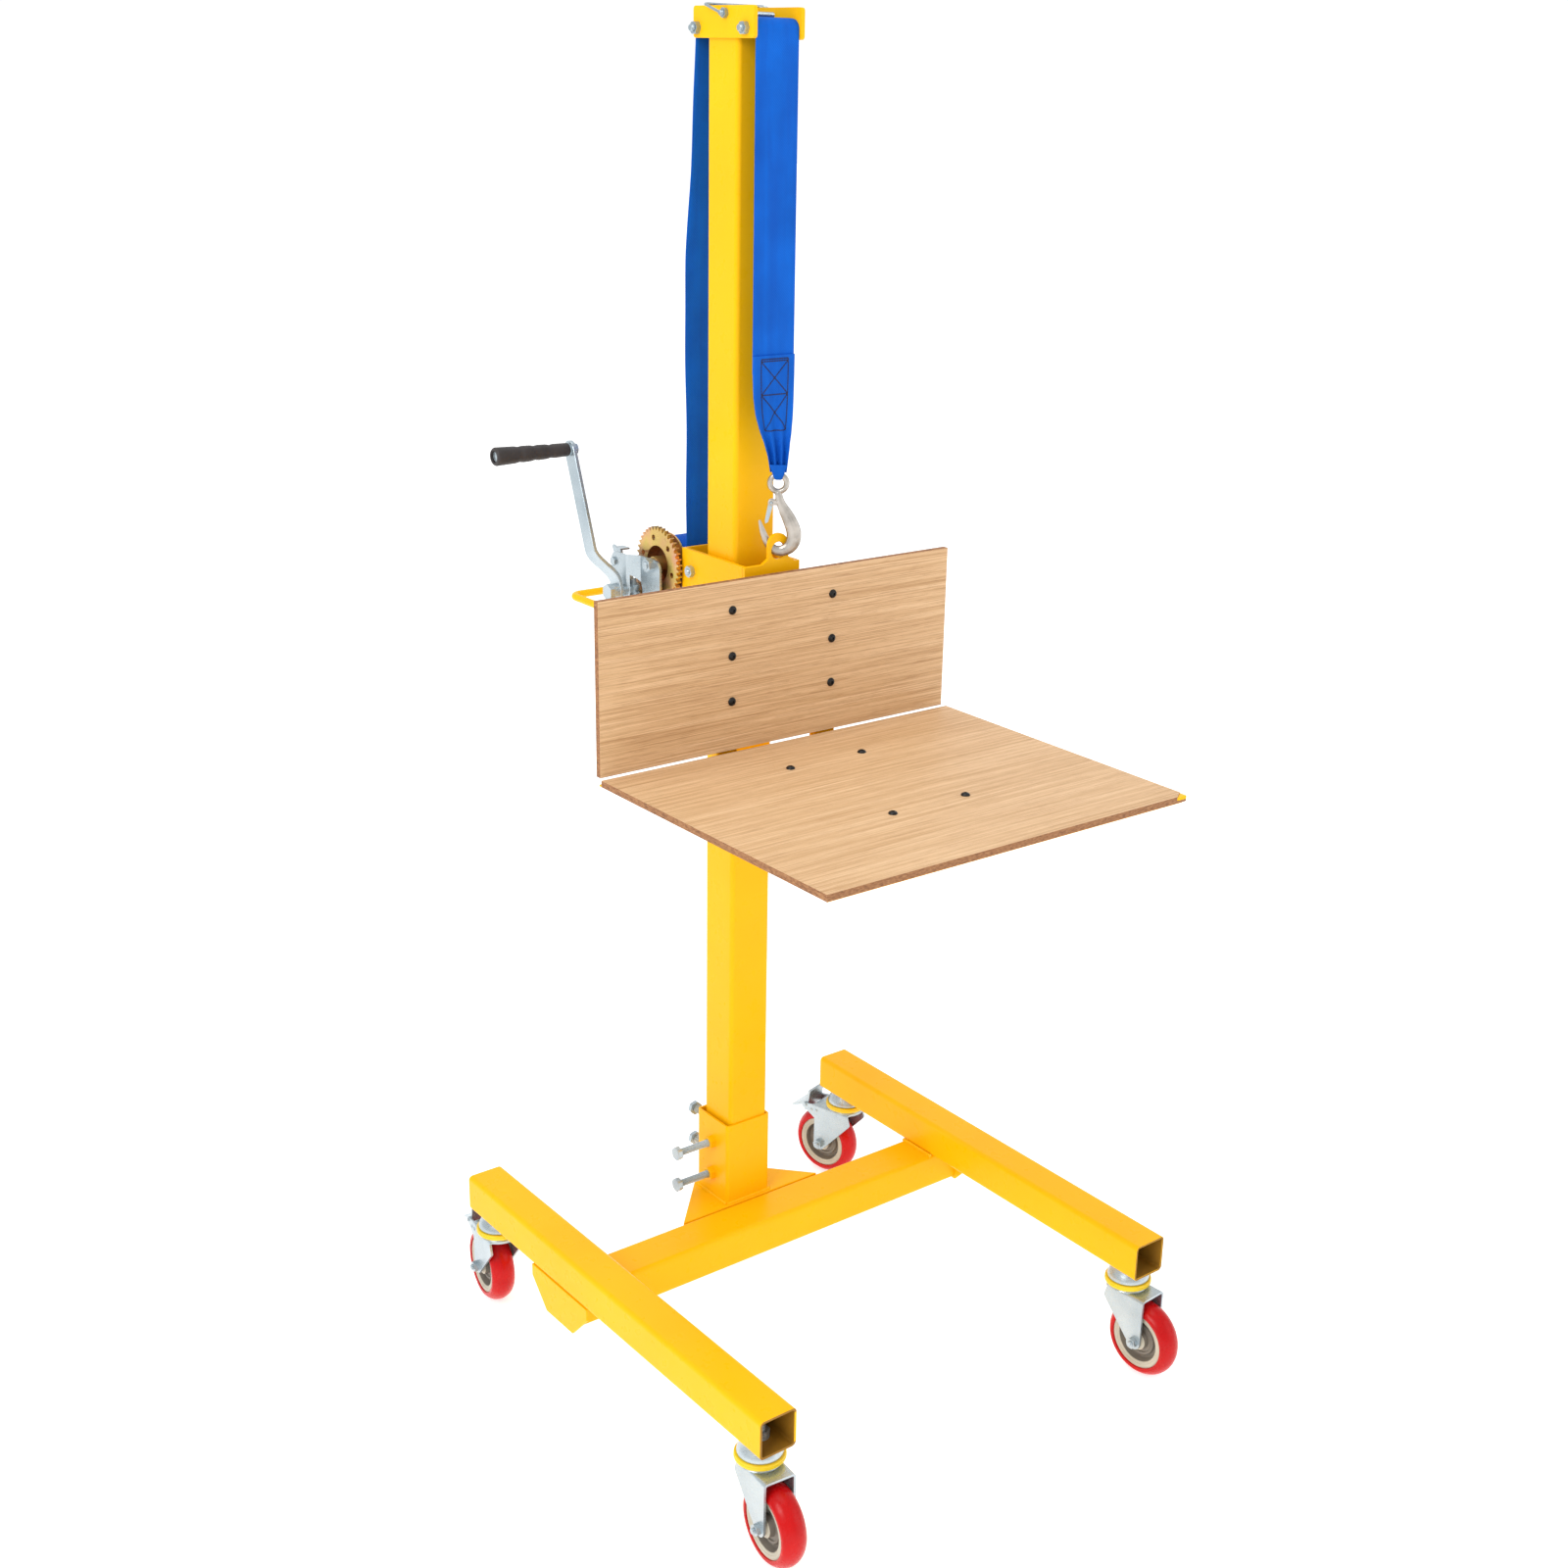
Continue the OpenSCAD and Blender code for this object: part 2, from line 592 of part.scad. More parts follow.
// Pinion, ratchet wheel and the threaded crank end on one shaft
module pinion_shaft() color("goldenrod") at_pinion() {
    rod_x(crank_x - 19, 46, shaft_r);
    plate_yz(-53, -41) rotate(180 - pinion_a + 180 / pinion_teeth)
        polygon(gear_points(pinion_teeth, gear_module, 0.8, 1.05, 0.42));
    plate_yz(-67, -62) polygon([for (i = [0:11], q = [[0, 14.5], [0.1, 19.5]])
        [q[1] * cos((i + q[0]) * 30), q[1] * sin((i + q[0]) * 30)]]);
    rod_x(crank_x - 12.8, crank_x - 5, 10);
    hex_x(crank_x - 19, crank_x - 12.8, 19);
    rod_x(43.5, 46, 10);
}

// Flat crank with an S-bend; its own frame has the arm straight up
module at_crank() at_pinion() rotate([-crank_a, 0, 0]) children();

module crank_arm() color(ZINC) at_crank() {
    x0 = crank_x;
    x1 = x0 - crank_out;
    t = 5;
    z0 = 18;
    z1 = z0 + 35;
    half = 11;
    difference() {
        intersection() {
            plate_xz(-half, half) polygon([[x0, -half], [x0, z0], [x1, z1], [x1, crank_len + half],
                [x1 - t, crank_len + half], [x1 - t, z1 - 2], [x0 - t, z0 - 2], [x0 - t, -half]]);
            plate_yz(x1 - t - 1, x0 + 1) {
                translate([-half, 0]) square([2 * half, crank_len]);
                circle(half);
                translate([0, crank_len]) circle(half);
            }
        }
        rod_x(x1 - 9, x0 + 4, shaft_r + 0.02);
    }
    translate([0, 0, crank_len]) {
        rod_x(x1 - 105, x1 - t, 5);
        rod_x(x1 - 108, x1 - 105, 7);
        hex_x(x1, x1 + 6, 13);
    }
}

// Tapered grip with three finger grooves; it turns on its spindle
module crank_grip() color("black") at_crank() translate([crank_x - crank_out - 5.6, 0, crank_len]) difference() {
    rotate([0, -90, 0]) rotate_extrude() polygon([[5 + fit, 0], [7.5, 0], [8.6, 4], [8.9, 22], [8.2, 27],
        [9.4, 32], [9.7, 44], [9, 49], [10.3, 54], [10.7, 66], [10, 71], [11.3, 76], [12, 96], [12, 102],
        [11, 105], [7.4, 105], [7.4, 98.5], [5 + fit, 98.5]]);
}

// Pawl on its pivot boss: the tooth hangs down, the thumb tab reaches back
module ratchet_pawl() color(ZINC) at_mast() translate([0, pawl_y, pawl_z]) difference() {
    union() {
        rod_x(-66.5, -62.5, 8);
        plate_yz(-66, -63) {
            polygon([[-7, -1], [0, -28], [4, -28], [7, -1]]);
            polygon([[-7, -2], [-5, 13], [14, 18], [15, 15], [7, -2]]);
        }
        block([-66, -4, 13.4], [-52, 12, 15.6]);
    }
    rod_x(-70, -60, 4 + fit);
}

// ---- hook and strap ----

// The hook's plane: local +X runs across the hook, local Y is its thickness
module at_hook() at_mast() translate([lug_x, car_y0 + plate / 2, 0]) rotate([0, 0, hook_a]) children();

// Centre line of the hook from neck to tip: across, height, half width, half thickness
HOOK_LINE = [[0, 1108, 4.2, 4], [3, 1095, 5.8, 4.6], [12.5, 1078, 8, 5], [19.5, 1060, 9, 5],
    [16.8, 1045, 8.4, 4.3], [6, 1037.5, 6.8, 3.6], [-5, 1039, 6, 3.5], [-13, 1049, 4.8, 3.5],
    [-18.5, 1062, 3.5, 3], [-22, 1074, 1.6, 1.8]];

function spline(p0, p1, p2, p3, t) = 0.5 * ((2 * p1) + (p2 - p0) * t + (2 * p0 - 5 * p1 + 4 * p2 - p3) * t * t
    + (3 * p1 - p0 - 3 * p2 + p3) * t * t * t);
function line_points(L, k) = let (n = len(L)) [for (i = [0:n - 2], j = [0:k - 1])
    spline(L[max(i - 1, 0)], L[i], L[i + 1], L[min(i + 2, n - 1)], j / k), L[n - 1]];

module hook_sweep(k = 3, sides = 12) {
    L = line_points(HOOK_LINE, k);
    n = len(L);
    pts = [for (i = [0:n - 1]) let (a = L[max(i - 1, 0)], b = L[min(i + 1, n - 1)],
        t = [b[0] - a[0], b[1] - a[1]] / norm([b[0] - a[0], b[1] - a[1]]))
        for (j = [0:sides - 1]) let (w = j * 360 / sides)
        [L[i][0] + t[1] * L[i][2] * cos(w), L[i][3] * sin(w), L[i][1] - t[0] * L[i][2] * cos(w)]];
    faces = concat([[for (j = [0:sides - 1]) j]],
        [for (i = [0:n - 2], j = [0:sides - 1]) let (a = i * sides + j, b = i * sides + (j + 1) % sides)
            [a, a + sides, b + sides, b]],
        [[for (j = [sides - 1:-1:0]) (n - 1) * sides + j]]);
    polyhedron(pts, faces, convexity = 6);
}

module hook_body() color("silver") at_hook() {
    difference() {
        union() {
            hook_sweep();
            translate([0, 0, eye_z]) rotate([90, 0, 0]) rotate_extrude() translate([10, 0]) circle(3.4, $fn = 24);
        }
        translate([-5, -1.7, 1084]) cube([7.5, 3.4, 21]);
    }
    translate([-8, 0, 1096]) rotate([90, 0, 0]) translate([0, 0, -4.5]) difference() {
        union() {
            cylinder(h = 2.7, r = 4);
            translate([0, 0, 6.3]) cylinder(h = 2.7, r = 4);
            for (z = [0, 6.3]) translate([0, -3, z]) cube([7, 6, 2.7]);
        }
        translate([0, 0, -1]) cylinder(h = 12, r = 1.5 + fit);
    }
}

// Sprung gate that closes the mouth of the hook
module hook_latch() color(ZINC) at_hook() translate([-8, 0, 1096]) {
    rotate([90, 0, 0]) translate([0, 0, -5.5]) cylinder(h = 11, r = 1.5);
    translate([0, 1.5, 0]) rotate([90, 0, 0]) linear_extrude(3)
        polygon([[-3, 2], [0, 4], [2.5, 2], [2, -4], [-3.5, -24], [-7, -26], [-7.5, -22]]);
}

// Strap over the head: a quarter turn on each roller and the flat run between them
module strap_top() color("royalblue") at_mast() {
    r = roller_r + 0.3;
    for (i = [0, 1]) translate([0, roller_y[i], roller_z]) difference() {
        rod_x(-strap_w / 2, strap_w / 2, r + strap_t);
        rod_x(-strap_w, strap_w, r);
        block([-strap_w, -40, -40], [strap_w, 40, 0]);
        block([-strap_w, i == 0 ? 0 : -40, -40], [strap_w, i == 0 ? 40 : 0, 40]);
    }
    block([-strap_w / 2, roller_y[0], roller_z + r], [strap_w / 2, roller_y[1], roller_z + r + strap_t]);
}

module strap_front() color("royalblue") at_mast() {
    y = roller_y[0] - roller_r - 0.3;
    block([-strap_w / 2, y - strap_t, sewn_z + 0.5], [strap_w / 2, y, roller_z]);
}

// Slack back run: from the back roller out to the coil on the drum
BACK_LINE = [[roller_y[1] + roller_r + 0.2 + strap_t, roller_z], [57, 1560], [63, 1480], [70, 1410], [75, 1360], [76, 1300], [74, 1200],
    [73.4, 1100], [73.6, 995]];

module strap_back() color("royalblue") at_mast() {
    n = len(BACK_LINE);
    plate_yz(-strap_w / 2, strap_w / 2) polygon(concat(
        [for (p = BACK_LINE) [p[0] + 0.1, p[1]]],
        [for (i = [n - 1:-1:0]) [BACK_LINE[i][0] - strap_t + 0.1, BACK_LINE[i][1]]]));
}

// Sewn, doubled end that gathers into the hook's eye
module strap_end() color("royalblue") at_mast() {
    y = roller_y[0] - roller_r - 0.3;
    w = strap_w / 2;
    z = eye_z + 13.6;
    plate_xz(y - 2 * strap_t - 0.6, y) polygon([[-w, sewn_z], [w, sewn_z], [w - 1, 1220], [w - 8, 1185],
        [lug_x + 11, 1150], [lug_x + 10, z], [lug_x - 10, z], [lug_x - 12, 1150], [-w + 8, 1185], [-w + 1, 1220]]);
}

side_tube_at(-1);  // side_tube_left
side_tube_at(1);  // side_tube_right
cross_tube();
end_gussets();
mast_plate();
mast_socket();
clamp_bolts();
mast_tube();
head_plates();
head_bolts();
head_bail();
head_roller(roller_y[0]);  // head_roller_front
head_roller(roller_y[1]);  // head_roller_back
caster_stems();
caster_rings();
for (i = [0:3]) {
    fork(i);
    axle(i);
    hub(i);
    tyre(i);
}
for (i = [2, 3]) brake(i);
carriage_sides();
carriage_front();
carriage_back();
guide_pads();
carriage_bolts();
guide_roller(guide_y, guide_z[1]);  // guide_roller_upper
guide_roller(-guide_y, guide_z[0]);  // guide_roller_lower
push_handle();
board_frame();
deck_tray();
back_board();
deck_board();
board_screws();
winch_frame();
winch_drum();
drum_gear();
strap_coil();
pinion_shaft();
crank_arm();
crank_grip();
ratchet_pawl();
hook_body();
hook_latch();
strap_top();
strap_front();
strap_back();
strap_end();
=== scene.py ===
"""Hand-winch platform lift: materials, detailed pieces, studio and camera round the CAD frame."""
import json
import math

import bmesh
import bpy
from mathutils import Matrix, Vector


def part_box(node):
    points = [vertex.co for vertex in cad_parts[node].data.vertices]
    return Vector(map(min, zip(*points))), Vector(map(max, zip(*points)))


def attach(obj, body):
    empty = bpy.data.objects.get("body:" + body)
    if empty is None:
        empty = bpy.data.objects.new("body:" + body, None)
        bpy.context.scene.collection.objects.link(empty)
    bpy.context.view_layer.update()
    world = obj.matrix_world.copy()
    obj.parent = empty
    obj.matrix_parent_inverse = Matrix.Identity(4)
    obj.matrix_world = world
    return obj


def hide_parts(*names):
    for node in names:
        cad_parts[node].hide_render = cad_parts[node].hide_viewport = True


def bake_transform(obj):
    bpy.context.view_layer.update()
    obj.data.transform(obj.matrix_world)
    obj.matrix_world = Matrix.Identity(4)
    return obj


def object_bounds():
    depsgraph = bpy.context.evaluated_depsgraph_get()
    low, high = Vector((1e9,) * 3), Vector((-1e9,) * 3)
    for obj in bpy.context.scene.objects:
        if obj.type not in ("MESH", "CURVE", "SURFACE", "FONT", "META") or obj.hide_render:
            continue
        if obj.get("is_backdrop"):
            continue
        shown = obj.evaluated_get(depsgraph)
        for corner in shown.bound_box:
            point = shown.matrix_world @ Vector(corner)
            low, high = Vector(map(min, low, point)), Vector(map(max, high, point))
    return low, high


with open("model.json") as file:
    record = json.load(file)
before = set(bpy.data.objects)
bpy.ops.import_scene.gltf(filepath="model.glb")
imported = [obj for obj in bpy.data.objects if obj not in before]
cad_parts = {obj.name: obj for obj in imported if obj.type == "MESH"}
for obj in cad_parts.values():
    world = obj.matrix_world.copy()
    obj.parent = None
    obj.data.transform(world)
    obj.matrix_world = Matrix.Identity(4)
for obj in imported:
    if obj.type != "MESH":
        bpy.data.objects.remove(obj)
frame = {"nodes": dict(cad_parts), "record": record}
NODES = frame["nodes"]
RECORD = frame["record"]
SLOT_OF = {s["node"]: s["material_slot"] for s in RECORD["subparts"]}
BODY_OF = {n: b for b, members in RECORD["behaviour"]["bodies"].items() for n in members}
cad_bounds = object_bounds()

# Millimetres, with y and z measured from the foot of the mast's axis.
MM = 0.001
MAST_Y = 112                            # from the row's origin back to the mast's axis
TUBE_X, TUBE_Z = 295, 167               # middles of the side tubes
TUBE_WALLS = 22.3                       # just over half the side tubes' inside width
FRONT_CASTERS_Y, BACK_CASTERS_Y = -459, 125
HEAD_ROLLERS_Y, HEAD_ROLLERS_Z = (-51, 42), 1622.5
BOARD_FACE_Y, DECK_Y, DECK_Z = -89, -91, 806
DRUM = (107, 995)                       # the drum shaft's y and z
PINION = (147.802, 956.28)              # the pinion shaft's y and z
CRANK_LEAN, CRANK_LEN = math.radians(20.3), 183
STRAP_HALF, STRAP_T = 29.5, 1.8
TAU = 2 * math.pi


# ---- material helpers ----

class Shader:
    """A principled material with its nodes added by short calls."""

    def __init__(self, name):
        self.mat = bpy.data.materials.new(name)
        self.mat.use_nodes = True
        self.tree = self.mat.node_tree
        self.bsdf = self.tree.nodes["Principled BSDF"]
        self.coord = self.tree.nodes.new("ShaderNodeTexCoord").outputs["Object"]

    def set(self, **values):
        for name, value in values.items():
            self.bsdf.inputs[name.replace("_", " ")].default_value = value

    def node(self, kind, inputs=None, **props):
        n = self.tree.nodes.new("ShaderNode" + kind)
        for key, value in props.items():
            setattr(n, key, value)
        for key, value in (inputs or {}).items():
            if isinstance(value, bpy.types.NodeSocket):
                self.tree.links.new(value, n.inputs[key])
            else:
                n.inputs[key].default_value = value
        return n

    def scaled(self, x, y, z):
        """Object coordinates, stretched."""
        return self.node("Mapping", {"Vector": self.coord, "Scale": (x, y, z)}).outputs["Vector"]

    def noise(self, scale, detail=3.0, rough=0.5, vector=None, distortion=0.0):
        inputs = {"Vector": vector or self.coord, "Scale": scale, "Detail": detail,
                  "Roughness": rough, "Distortion": distortion}
        return self.node("TexNoise", inputs).outputs["Fac"]

    def ramp(self, fac, *stops):
        """Stops are (position, colour) or (position, grey)."""
        r = self.node("ValToRGB", {"Fac": fac})
        elements = r.color_ramp.elements
        while len(elements) < len(stops):
            elements.new(1.0)
        for element, (place, value) in zip(elements, stops):
            element.position = place
            element.color = (*value, 1) if isinstance(value, tuple) else (value,) * 3 + (1,)
        return r.outputs["Color"]

    def math(self, op, a, b=0.0):
        return self.node("Math", {0: a, 1: b}, operation=op).outputs[0]

    def mix(self, fac, a, b):
        n = self.node("Mix", data_type="RGBA")
        for socket, value in ((n.inputs[0], fac), (n.inputs[6], a), (n.inputs[7], b)):
            if isinstance(value, bpy.types.NodeSocket):
                self.tree.links.new(value, socket)
            else:
                socket.default_value = (*value, 1) if isinstance(value, tuple) else value
        return n.outputs[2]

    def colour(self, source):
        self.tree.links.new(source, self.bsdf.inputs["Base Color"])

    def rough(self, source):
        self.tree.links.new(source, self.bsdf.inputs["Roughness"])

    def bump(self, height, distance, strength=1.0):
        b = self.node("Bump", {"Height": height, "Distance": distance, "Strength": strength})
        self.tree.links.new(b.outputs["Normal"], self.bsdf.inputs["Normal"])
        return self


# ---- materials, one function each ----

def yellow_paint():
    """Gloss powder coat: faint orange peel, slow tone drift and a little dust in the gloss."""
    s = Shader("yellow_paint")
    drift = s.noise(5.0, 2.0)
    s.colour(s.ramp(drift, (0.30, (0.91, 0.465, 0.002)), (0.70, (0.95, 0.510, 0.003))))
    s.rough(s.ramp(s.noise(60.0, 4.0), (0.35, 0.26), (0.70, 0.38)))
    s.set(Specular_IOR_Level=0.12)
    return s.bump(s.noise(900.0, 1.0), 0.00012, 0.35).mat


def zinc():
    """Bright zinc plate: cool grey with soft spangle and fine scratches."""
    s = Shader("zinc")
    tone = s.ramp(s.noise(9.0, 3.0, 0.55), (0.30, (0.33, 0.40, 0.44)), (0.50, (0.44, 0.51, 0.55)),
                  (0.70, (0.54, 0.61, 0.64)))
    s.colour(tone)
    scratch = s.noise(260.0, 2.0, vector=s.scaled(1.0, 1.0, 9.0))
    s.rough(s.ramp(scratch, (0.30, 0.24), (0.75, 0.40)))
    s.set(Metallic=0.75)
    return s.bump(scratch, 0.00004, 0.4).mat


def yellow_zinc():
    """Yellow chromate plate: gold drifting into pink and green."""
    s = Shader("yellow_zinc")
    film = s.noise(22.0, 2.0, distortion=0.6)
    s.colour(s.ramp(film, (0.25, (0.56, 0.50, 0.10)), (0.45, (0.70, 0.47, 0.15)),
                    (0.60, (0.72, 0.38, 0.22)), (0.80, (0.52, 0.50, 0.14))))
    s.rough(s.ramp(s.noise(150.0, 3.0), (0.3, 0.26), (0.7, 0.40)))
    s.set(Metallic=0.85)
    return s.bump(s.noise(500.0, 2.0), 0.00003, 0.4).mat


def cup_film():
    """Chromate in the gear's cup, where it has dried red-brown."""
    s = Shader("cup_film")
    s.colour(s.ramp(s.noise(30.0, 3.0), (0.30, (0.30, 0.085, 0.05)), (0.70, (0.55, 0.28, 0.09))))
    s.rough(s.ramp(s.noise(90.0, 3.0), (0.30, 0.28), (0.75, 0.42)))
    s.set(Metallic=0.8)
    return s.bump(s.noise(500.0, 2.0), 0.00003, 0.4).mat


def red_tread():
    """Cast polyurethane: glossy red with faint flow marks."""
    s = Shader("red_tread")
    s.colour(s.ramp(s.noise(30.0, 3.0), (0.3, (0.47, 0.002, 0.003)), (0.7, (0.57, 0.004, 0.004))))
    s.rough(s.ramp(s.noise(90.0, 4.0), (0.3, 0.20), (0.75, 0.36)))
    s.set(Specular_IOR_Level=0.22)
    return s.bump(s.noise(420.0, 2.0), 0.00006, 0.35).mat


def moulded(name, low, high, rough_low, rough_high, grain=700.0):
    """Moulded plastic with fine grain."""
    s = Shader(name)
    s.colour(s.ramp(s.noise(26.0, 3.0), (0.3, low), (0.7, high)))
    s.rough(s.ramp(s.noise(120.0, 3.0), (0.3, rough_low), (0.7, rough_high)))
    return s.bump(s.noise(grain, 2.0), 0.00008, 0.4).mat


def black_steel():
    """Black oxide on small screws, slightly uneven."""
    s = Shader("black_steel")
    s.colour(s.ramp(s.noise(300.0, 2.0),
                    (0.3, (0.006, 0.006, 0.007)), (0.8, (0.030, 0.028, 0.026))))
    s.rough(s.ramp(s.noise(500.0, 2.0), (0.3, 0.28), (0.7, 0.46)))
    s.set(Metallic=0.5)
    return s.bump(s.noise(1500.0, 1.0), 0.00003, 0.4).mat


def forged():
    """Plated drop forging: satin, slightly warm, with a hammered skin."""
    s = Shader("forged")
    s.colour(s.ramp(s.noise(60.0, 4.0), (0.3, (0.36, 0.335, 0.30)), (0.7, (0.58, 0.54, 0.49))))
    s.rough(s.ramp(s.noise(180.0, 3.0), (0.3, 0.26), (0.7, 0.42)))
    s.set(Metallic=0.85)
    return s.bump(s.noise(260.0, 3.0), 0.00012, 0.5).mat


def oak_face():
    """Sanded oak veneer: long fine grain along X, open pores and darker streaks."""
    s = Shader("oak_face")
    bands = s.noise(4.0, 4.0, 0.55, s.scaled(0.8, 44.0, 44.0), 0.22)
    base = s.ramp(bands, (0.32, (0.60, 0.375, 0.190)), (0.50, (0.71, 0.468, 0.258)),
                  (0.66, (0.78, 0.535, 0.312)))
    fine = s.noise(4.0, 6.0, 0.68, s.scaled(1.5, 210.0, 210.0), 0.10)
    streaks = s.ramp(fine, (0.40, 1.0), (0.52, 0.0))
    tone = s.mix(s.math("MULTIPLY", streaks, 0.62), base, (0.42, 0.225, 0.095))
    pores = s.noise(4.0, 3.0, 0.6, s.scaled(9.0, 420.0, 420.0), 0.1)
    dark = s.ramp(pores, (0.56, 0.0), (0.66, 1.0))
    s.colour(s.mix(s.math("MULTIPLY", dark, 0.50), tone, (0.33, 0.165, 0.065)))
    s.rough(s.ramp(fine, (0.3, 0.58), (0.7, 0.46)))
    s.set(Specular_IOR_Level=0.3)
    return s.bump(s.math("SUBTRACT", fine, dark), 0.00010, 0.5).mat


def oak_edge():
    """Cut ply edge: reddish plies seen end on, with darker glue lines and saw marks."""
    s = Shader("oak_edge")
    plies = s.noise(9.0, 4.0, 0.6, s.scaled(22.0, 22.0, 60.0), 0.4)
    tone = s.ramp(plies, (0.30, (0.15, 0.060, 0.020)), (0.50, (0.31, 0.130, 0.045)),
                  (0.72, (0.42, 0.205, 0.075)))
    s.colour(tone)
    s.rough(s.ramp(plies, (0.3, 0.72), (0.7, 0.58)))
    return s.bump(plies, 0.00020, 0.6).mat


def webbing():
    """Woven polyester: ribs along the strap, long soft folds that are bumped and darkened towards navy as
    painted shade, and a lightly faded tone.
    """
    s = Shader("webbing")
    rib = s.node("TexWave", {"Vector": s.coord, "Scale": 290.0, "Distortion": 0.0},
                 wave_type="BANDS", bands_direction="X", wave_profile="SIN").outputs["Fac"]
    twill = s.node("TexWave",
                   {"Vector": s.scaled(1.0, 0.0, 1.0), "Scale": 210.0, "Distortion": 0.0},
                   wave_type="BANDS", bands_direction="DIAGONAL",
                   wave_profile="SIN").outputs["Fac"]
    weave = s.math("MULTIPLY", rib, twill)
    body = s.ramp(s.noise(16.0, 4.0), (0.3, (0.002, 0.085, 0.46)), (0.7, (0.003, 0.125, 0.62)))
    folds = s.noise(4.0, 3.0, 0.5, s.scaled(11.0, 3.0, 0.9), 0.4)
    # Painted shade: the fold noise darkens the webbing towards navy in its folds.
    shade = s.ramp(folds, (0.34, 0.38), (0.60, 0.0))
    lit = s.mix(s.math("MULTIPLY", weave, 0.22), body, (0.006, 0.26, 0.80))
    s.colour(s.mix(shade, lit, (0.004, 0.055, 0.36)))
    s.rough(s.ramp(weave, (0.2, 0.72), (0.8, 0.56)))
    s.set(Specular_IOR_Level=0.12)
    return s.bump(s.math("ADD", weave, s.math("MULTIPLY", folds, 9.0)), 0.00030, 0.6).mat


MATERIALS = {
    "yellow_paint": yellow_paint(), "zinc": zinc(), "yellow_zinc": yellow_zinc(),
    "red_tread": red_tread(), "oak": oak_face(), "webbing": webbing(),
    "black_steel": black_steel(), "forged": forged(),
    "hub_nylon": moulded("hub_nylon", (0.44, 0.40, 0.31), (0.56, 0.52, 0.42), 0.42, 0.58),
    "ring_plastic": moulded("ring_plastic", (0.80, 0.54, 0.0), (0.88, 0.64, 0.01), 0.30, 0.42),
    "black_grip": moulded("black_grip", (0.020, 0.016, 0.016), (0.042, 0.034, 0.033),
                          0.48, 0.66, 480.0),
    "dark_nylon": moulded("dark_nylon", (0.05, 0.05, 0.05), (0.10, 0.10, 0.10), 0.42, 0.56),
    "pad_nylon": moulded("pad_nylon", (0.74, 0.71, 0.62), (0.84, 0.82, 0.74), 0.40, 0.54),
}
OAK_EDGE = oak_edge()
# Painted shade: a darker brown for the deep recess of the wheel hubs.
HUB_RECESS_SHADE = moulded("hub_recess_shade", (0.16, 0.135, 0.11), (0.24, 0.21, 0.17), 0.46, 0.62)
THREAD = moulded("thread", (0.002, 0.006, 0.040), (0.004, 0.010, 0.060), 0.6, 0.8)
CUP_FILM = cup_film()
# Painted shade: a dark orange-brown for the inner walls of the open side tubes.
PAINTED_TUBE_SHADE = moulded("painted_tube_shade", (0.26, 0.120, 0.003), (0.36, 0.170, 0.005), 0.6, 0.8)


def paint(obj, material):
    """material alone on the whole of obj."""
    obj.data.materials.clear()
    obj.data.materials.append(material)


for name, node in NODES.items():
    paint(node, MATERIALS[SLOT_OF[name]])


# ---- mesh helpers ----

TO_ROW = Matrix.Translation((0, MAST_Y, 0))
UPRIGHT = Matrix.Rotation(-math.pi / 2, 4, "Y")     # turns a shape made along X to stand along Z
TO_FRONT = Matrix.Rotation(-math.pi / 2, 4, "Z")    # and this one turns it to face the front


def shift(x=0.0, y=0.0, z=0.0):
    """A plain move."""
    return Matrix.Translation((x, y, z))


def smooth(obj, sharp=32.0):
    """Smooth shading, with edges over so many degrees kept sharp."""
    obj.data.shade_smooth()
    obj.data.set_sharp_from_angle(angle=math.radians(sharp))
    return obj


def new_object(name, bm, sharp=32.0):
    """An object in the row frame, in metres, from a mesh in millimetres."""
    bmesh.ops.remove_doubles(bm, verts=bm.verts[:], dist=1e-4)
    bmesh.ops.recalc_face_normals(bm, faces=bm.faces[:])
    bmesh.ops.transform(bm, matrix=Matrix.Scale(MM, 4) @ TO_ROW, verts=bm.verts[:])
    mesh = bpy.data.meshes.new(name)
    bm.to_mesh(mesh)
    bm.free()
    obj = bpy.data.objects.new(name, mesh)
    bpy.context.collection.objects.link(obj)
    return smooth(obj, sharp)


def applied(obj):
    """obj with its modifiers made part of the mesh."""
    bpy.context.view_layer.update()
    graph = bpy.context.evaluated_depsgraph_get()
    mesh = bpy.data.meshes.new_from_object(obj.evaluated_get(graph))
    obj.modifiers.clear()
    obj.data = mesh
    return obj


def modified(obj, **modifiers):
    """obj with the modifiers applied, in the order given."""
    for kind, values in modifiers.items():
        modifier = obj.modifiers.new(kind, kind)
        for key, value in values.items():
            setattr(modifier, key, value)
    return smooth(applied(obj))


def edge(width=0.5, angle=34.0):
    """Settings of a bevel on the sharp edges."""
    return dict(width=width * MM, segments=2, limit_method="ANGLE",
                angle_limit=math.radians(angle), miter_outer="MITER_ARC")


def even(obj):
    """Flat faces keep flat shading beside their rounded edges."""
    obj.modifiers.new("even", "WEIGHTED_NORMAL").keep_sharp = True
    return applied(obj)


def fit_out(obj, node):
    """obj takes the place of a CAD node and moves with its body."""
    even(obj)
    paint(obj, MATERIALS[SLOT_OF[node]])
    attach(obj, BODY_OF[node])
    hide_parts(node)
    return obj


def cad_copy(node):
    """A CAD node's mesh, in millimetres."""
    bm = bmesh.new()
    bm.from_mesh(NODES[node].data)
    bmesh.ops.transform(bm, matrix=TO_ROW.inverted() @ Matrix.Scale(1 / MM, 4), verts=bm.verts[:])
    return bm


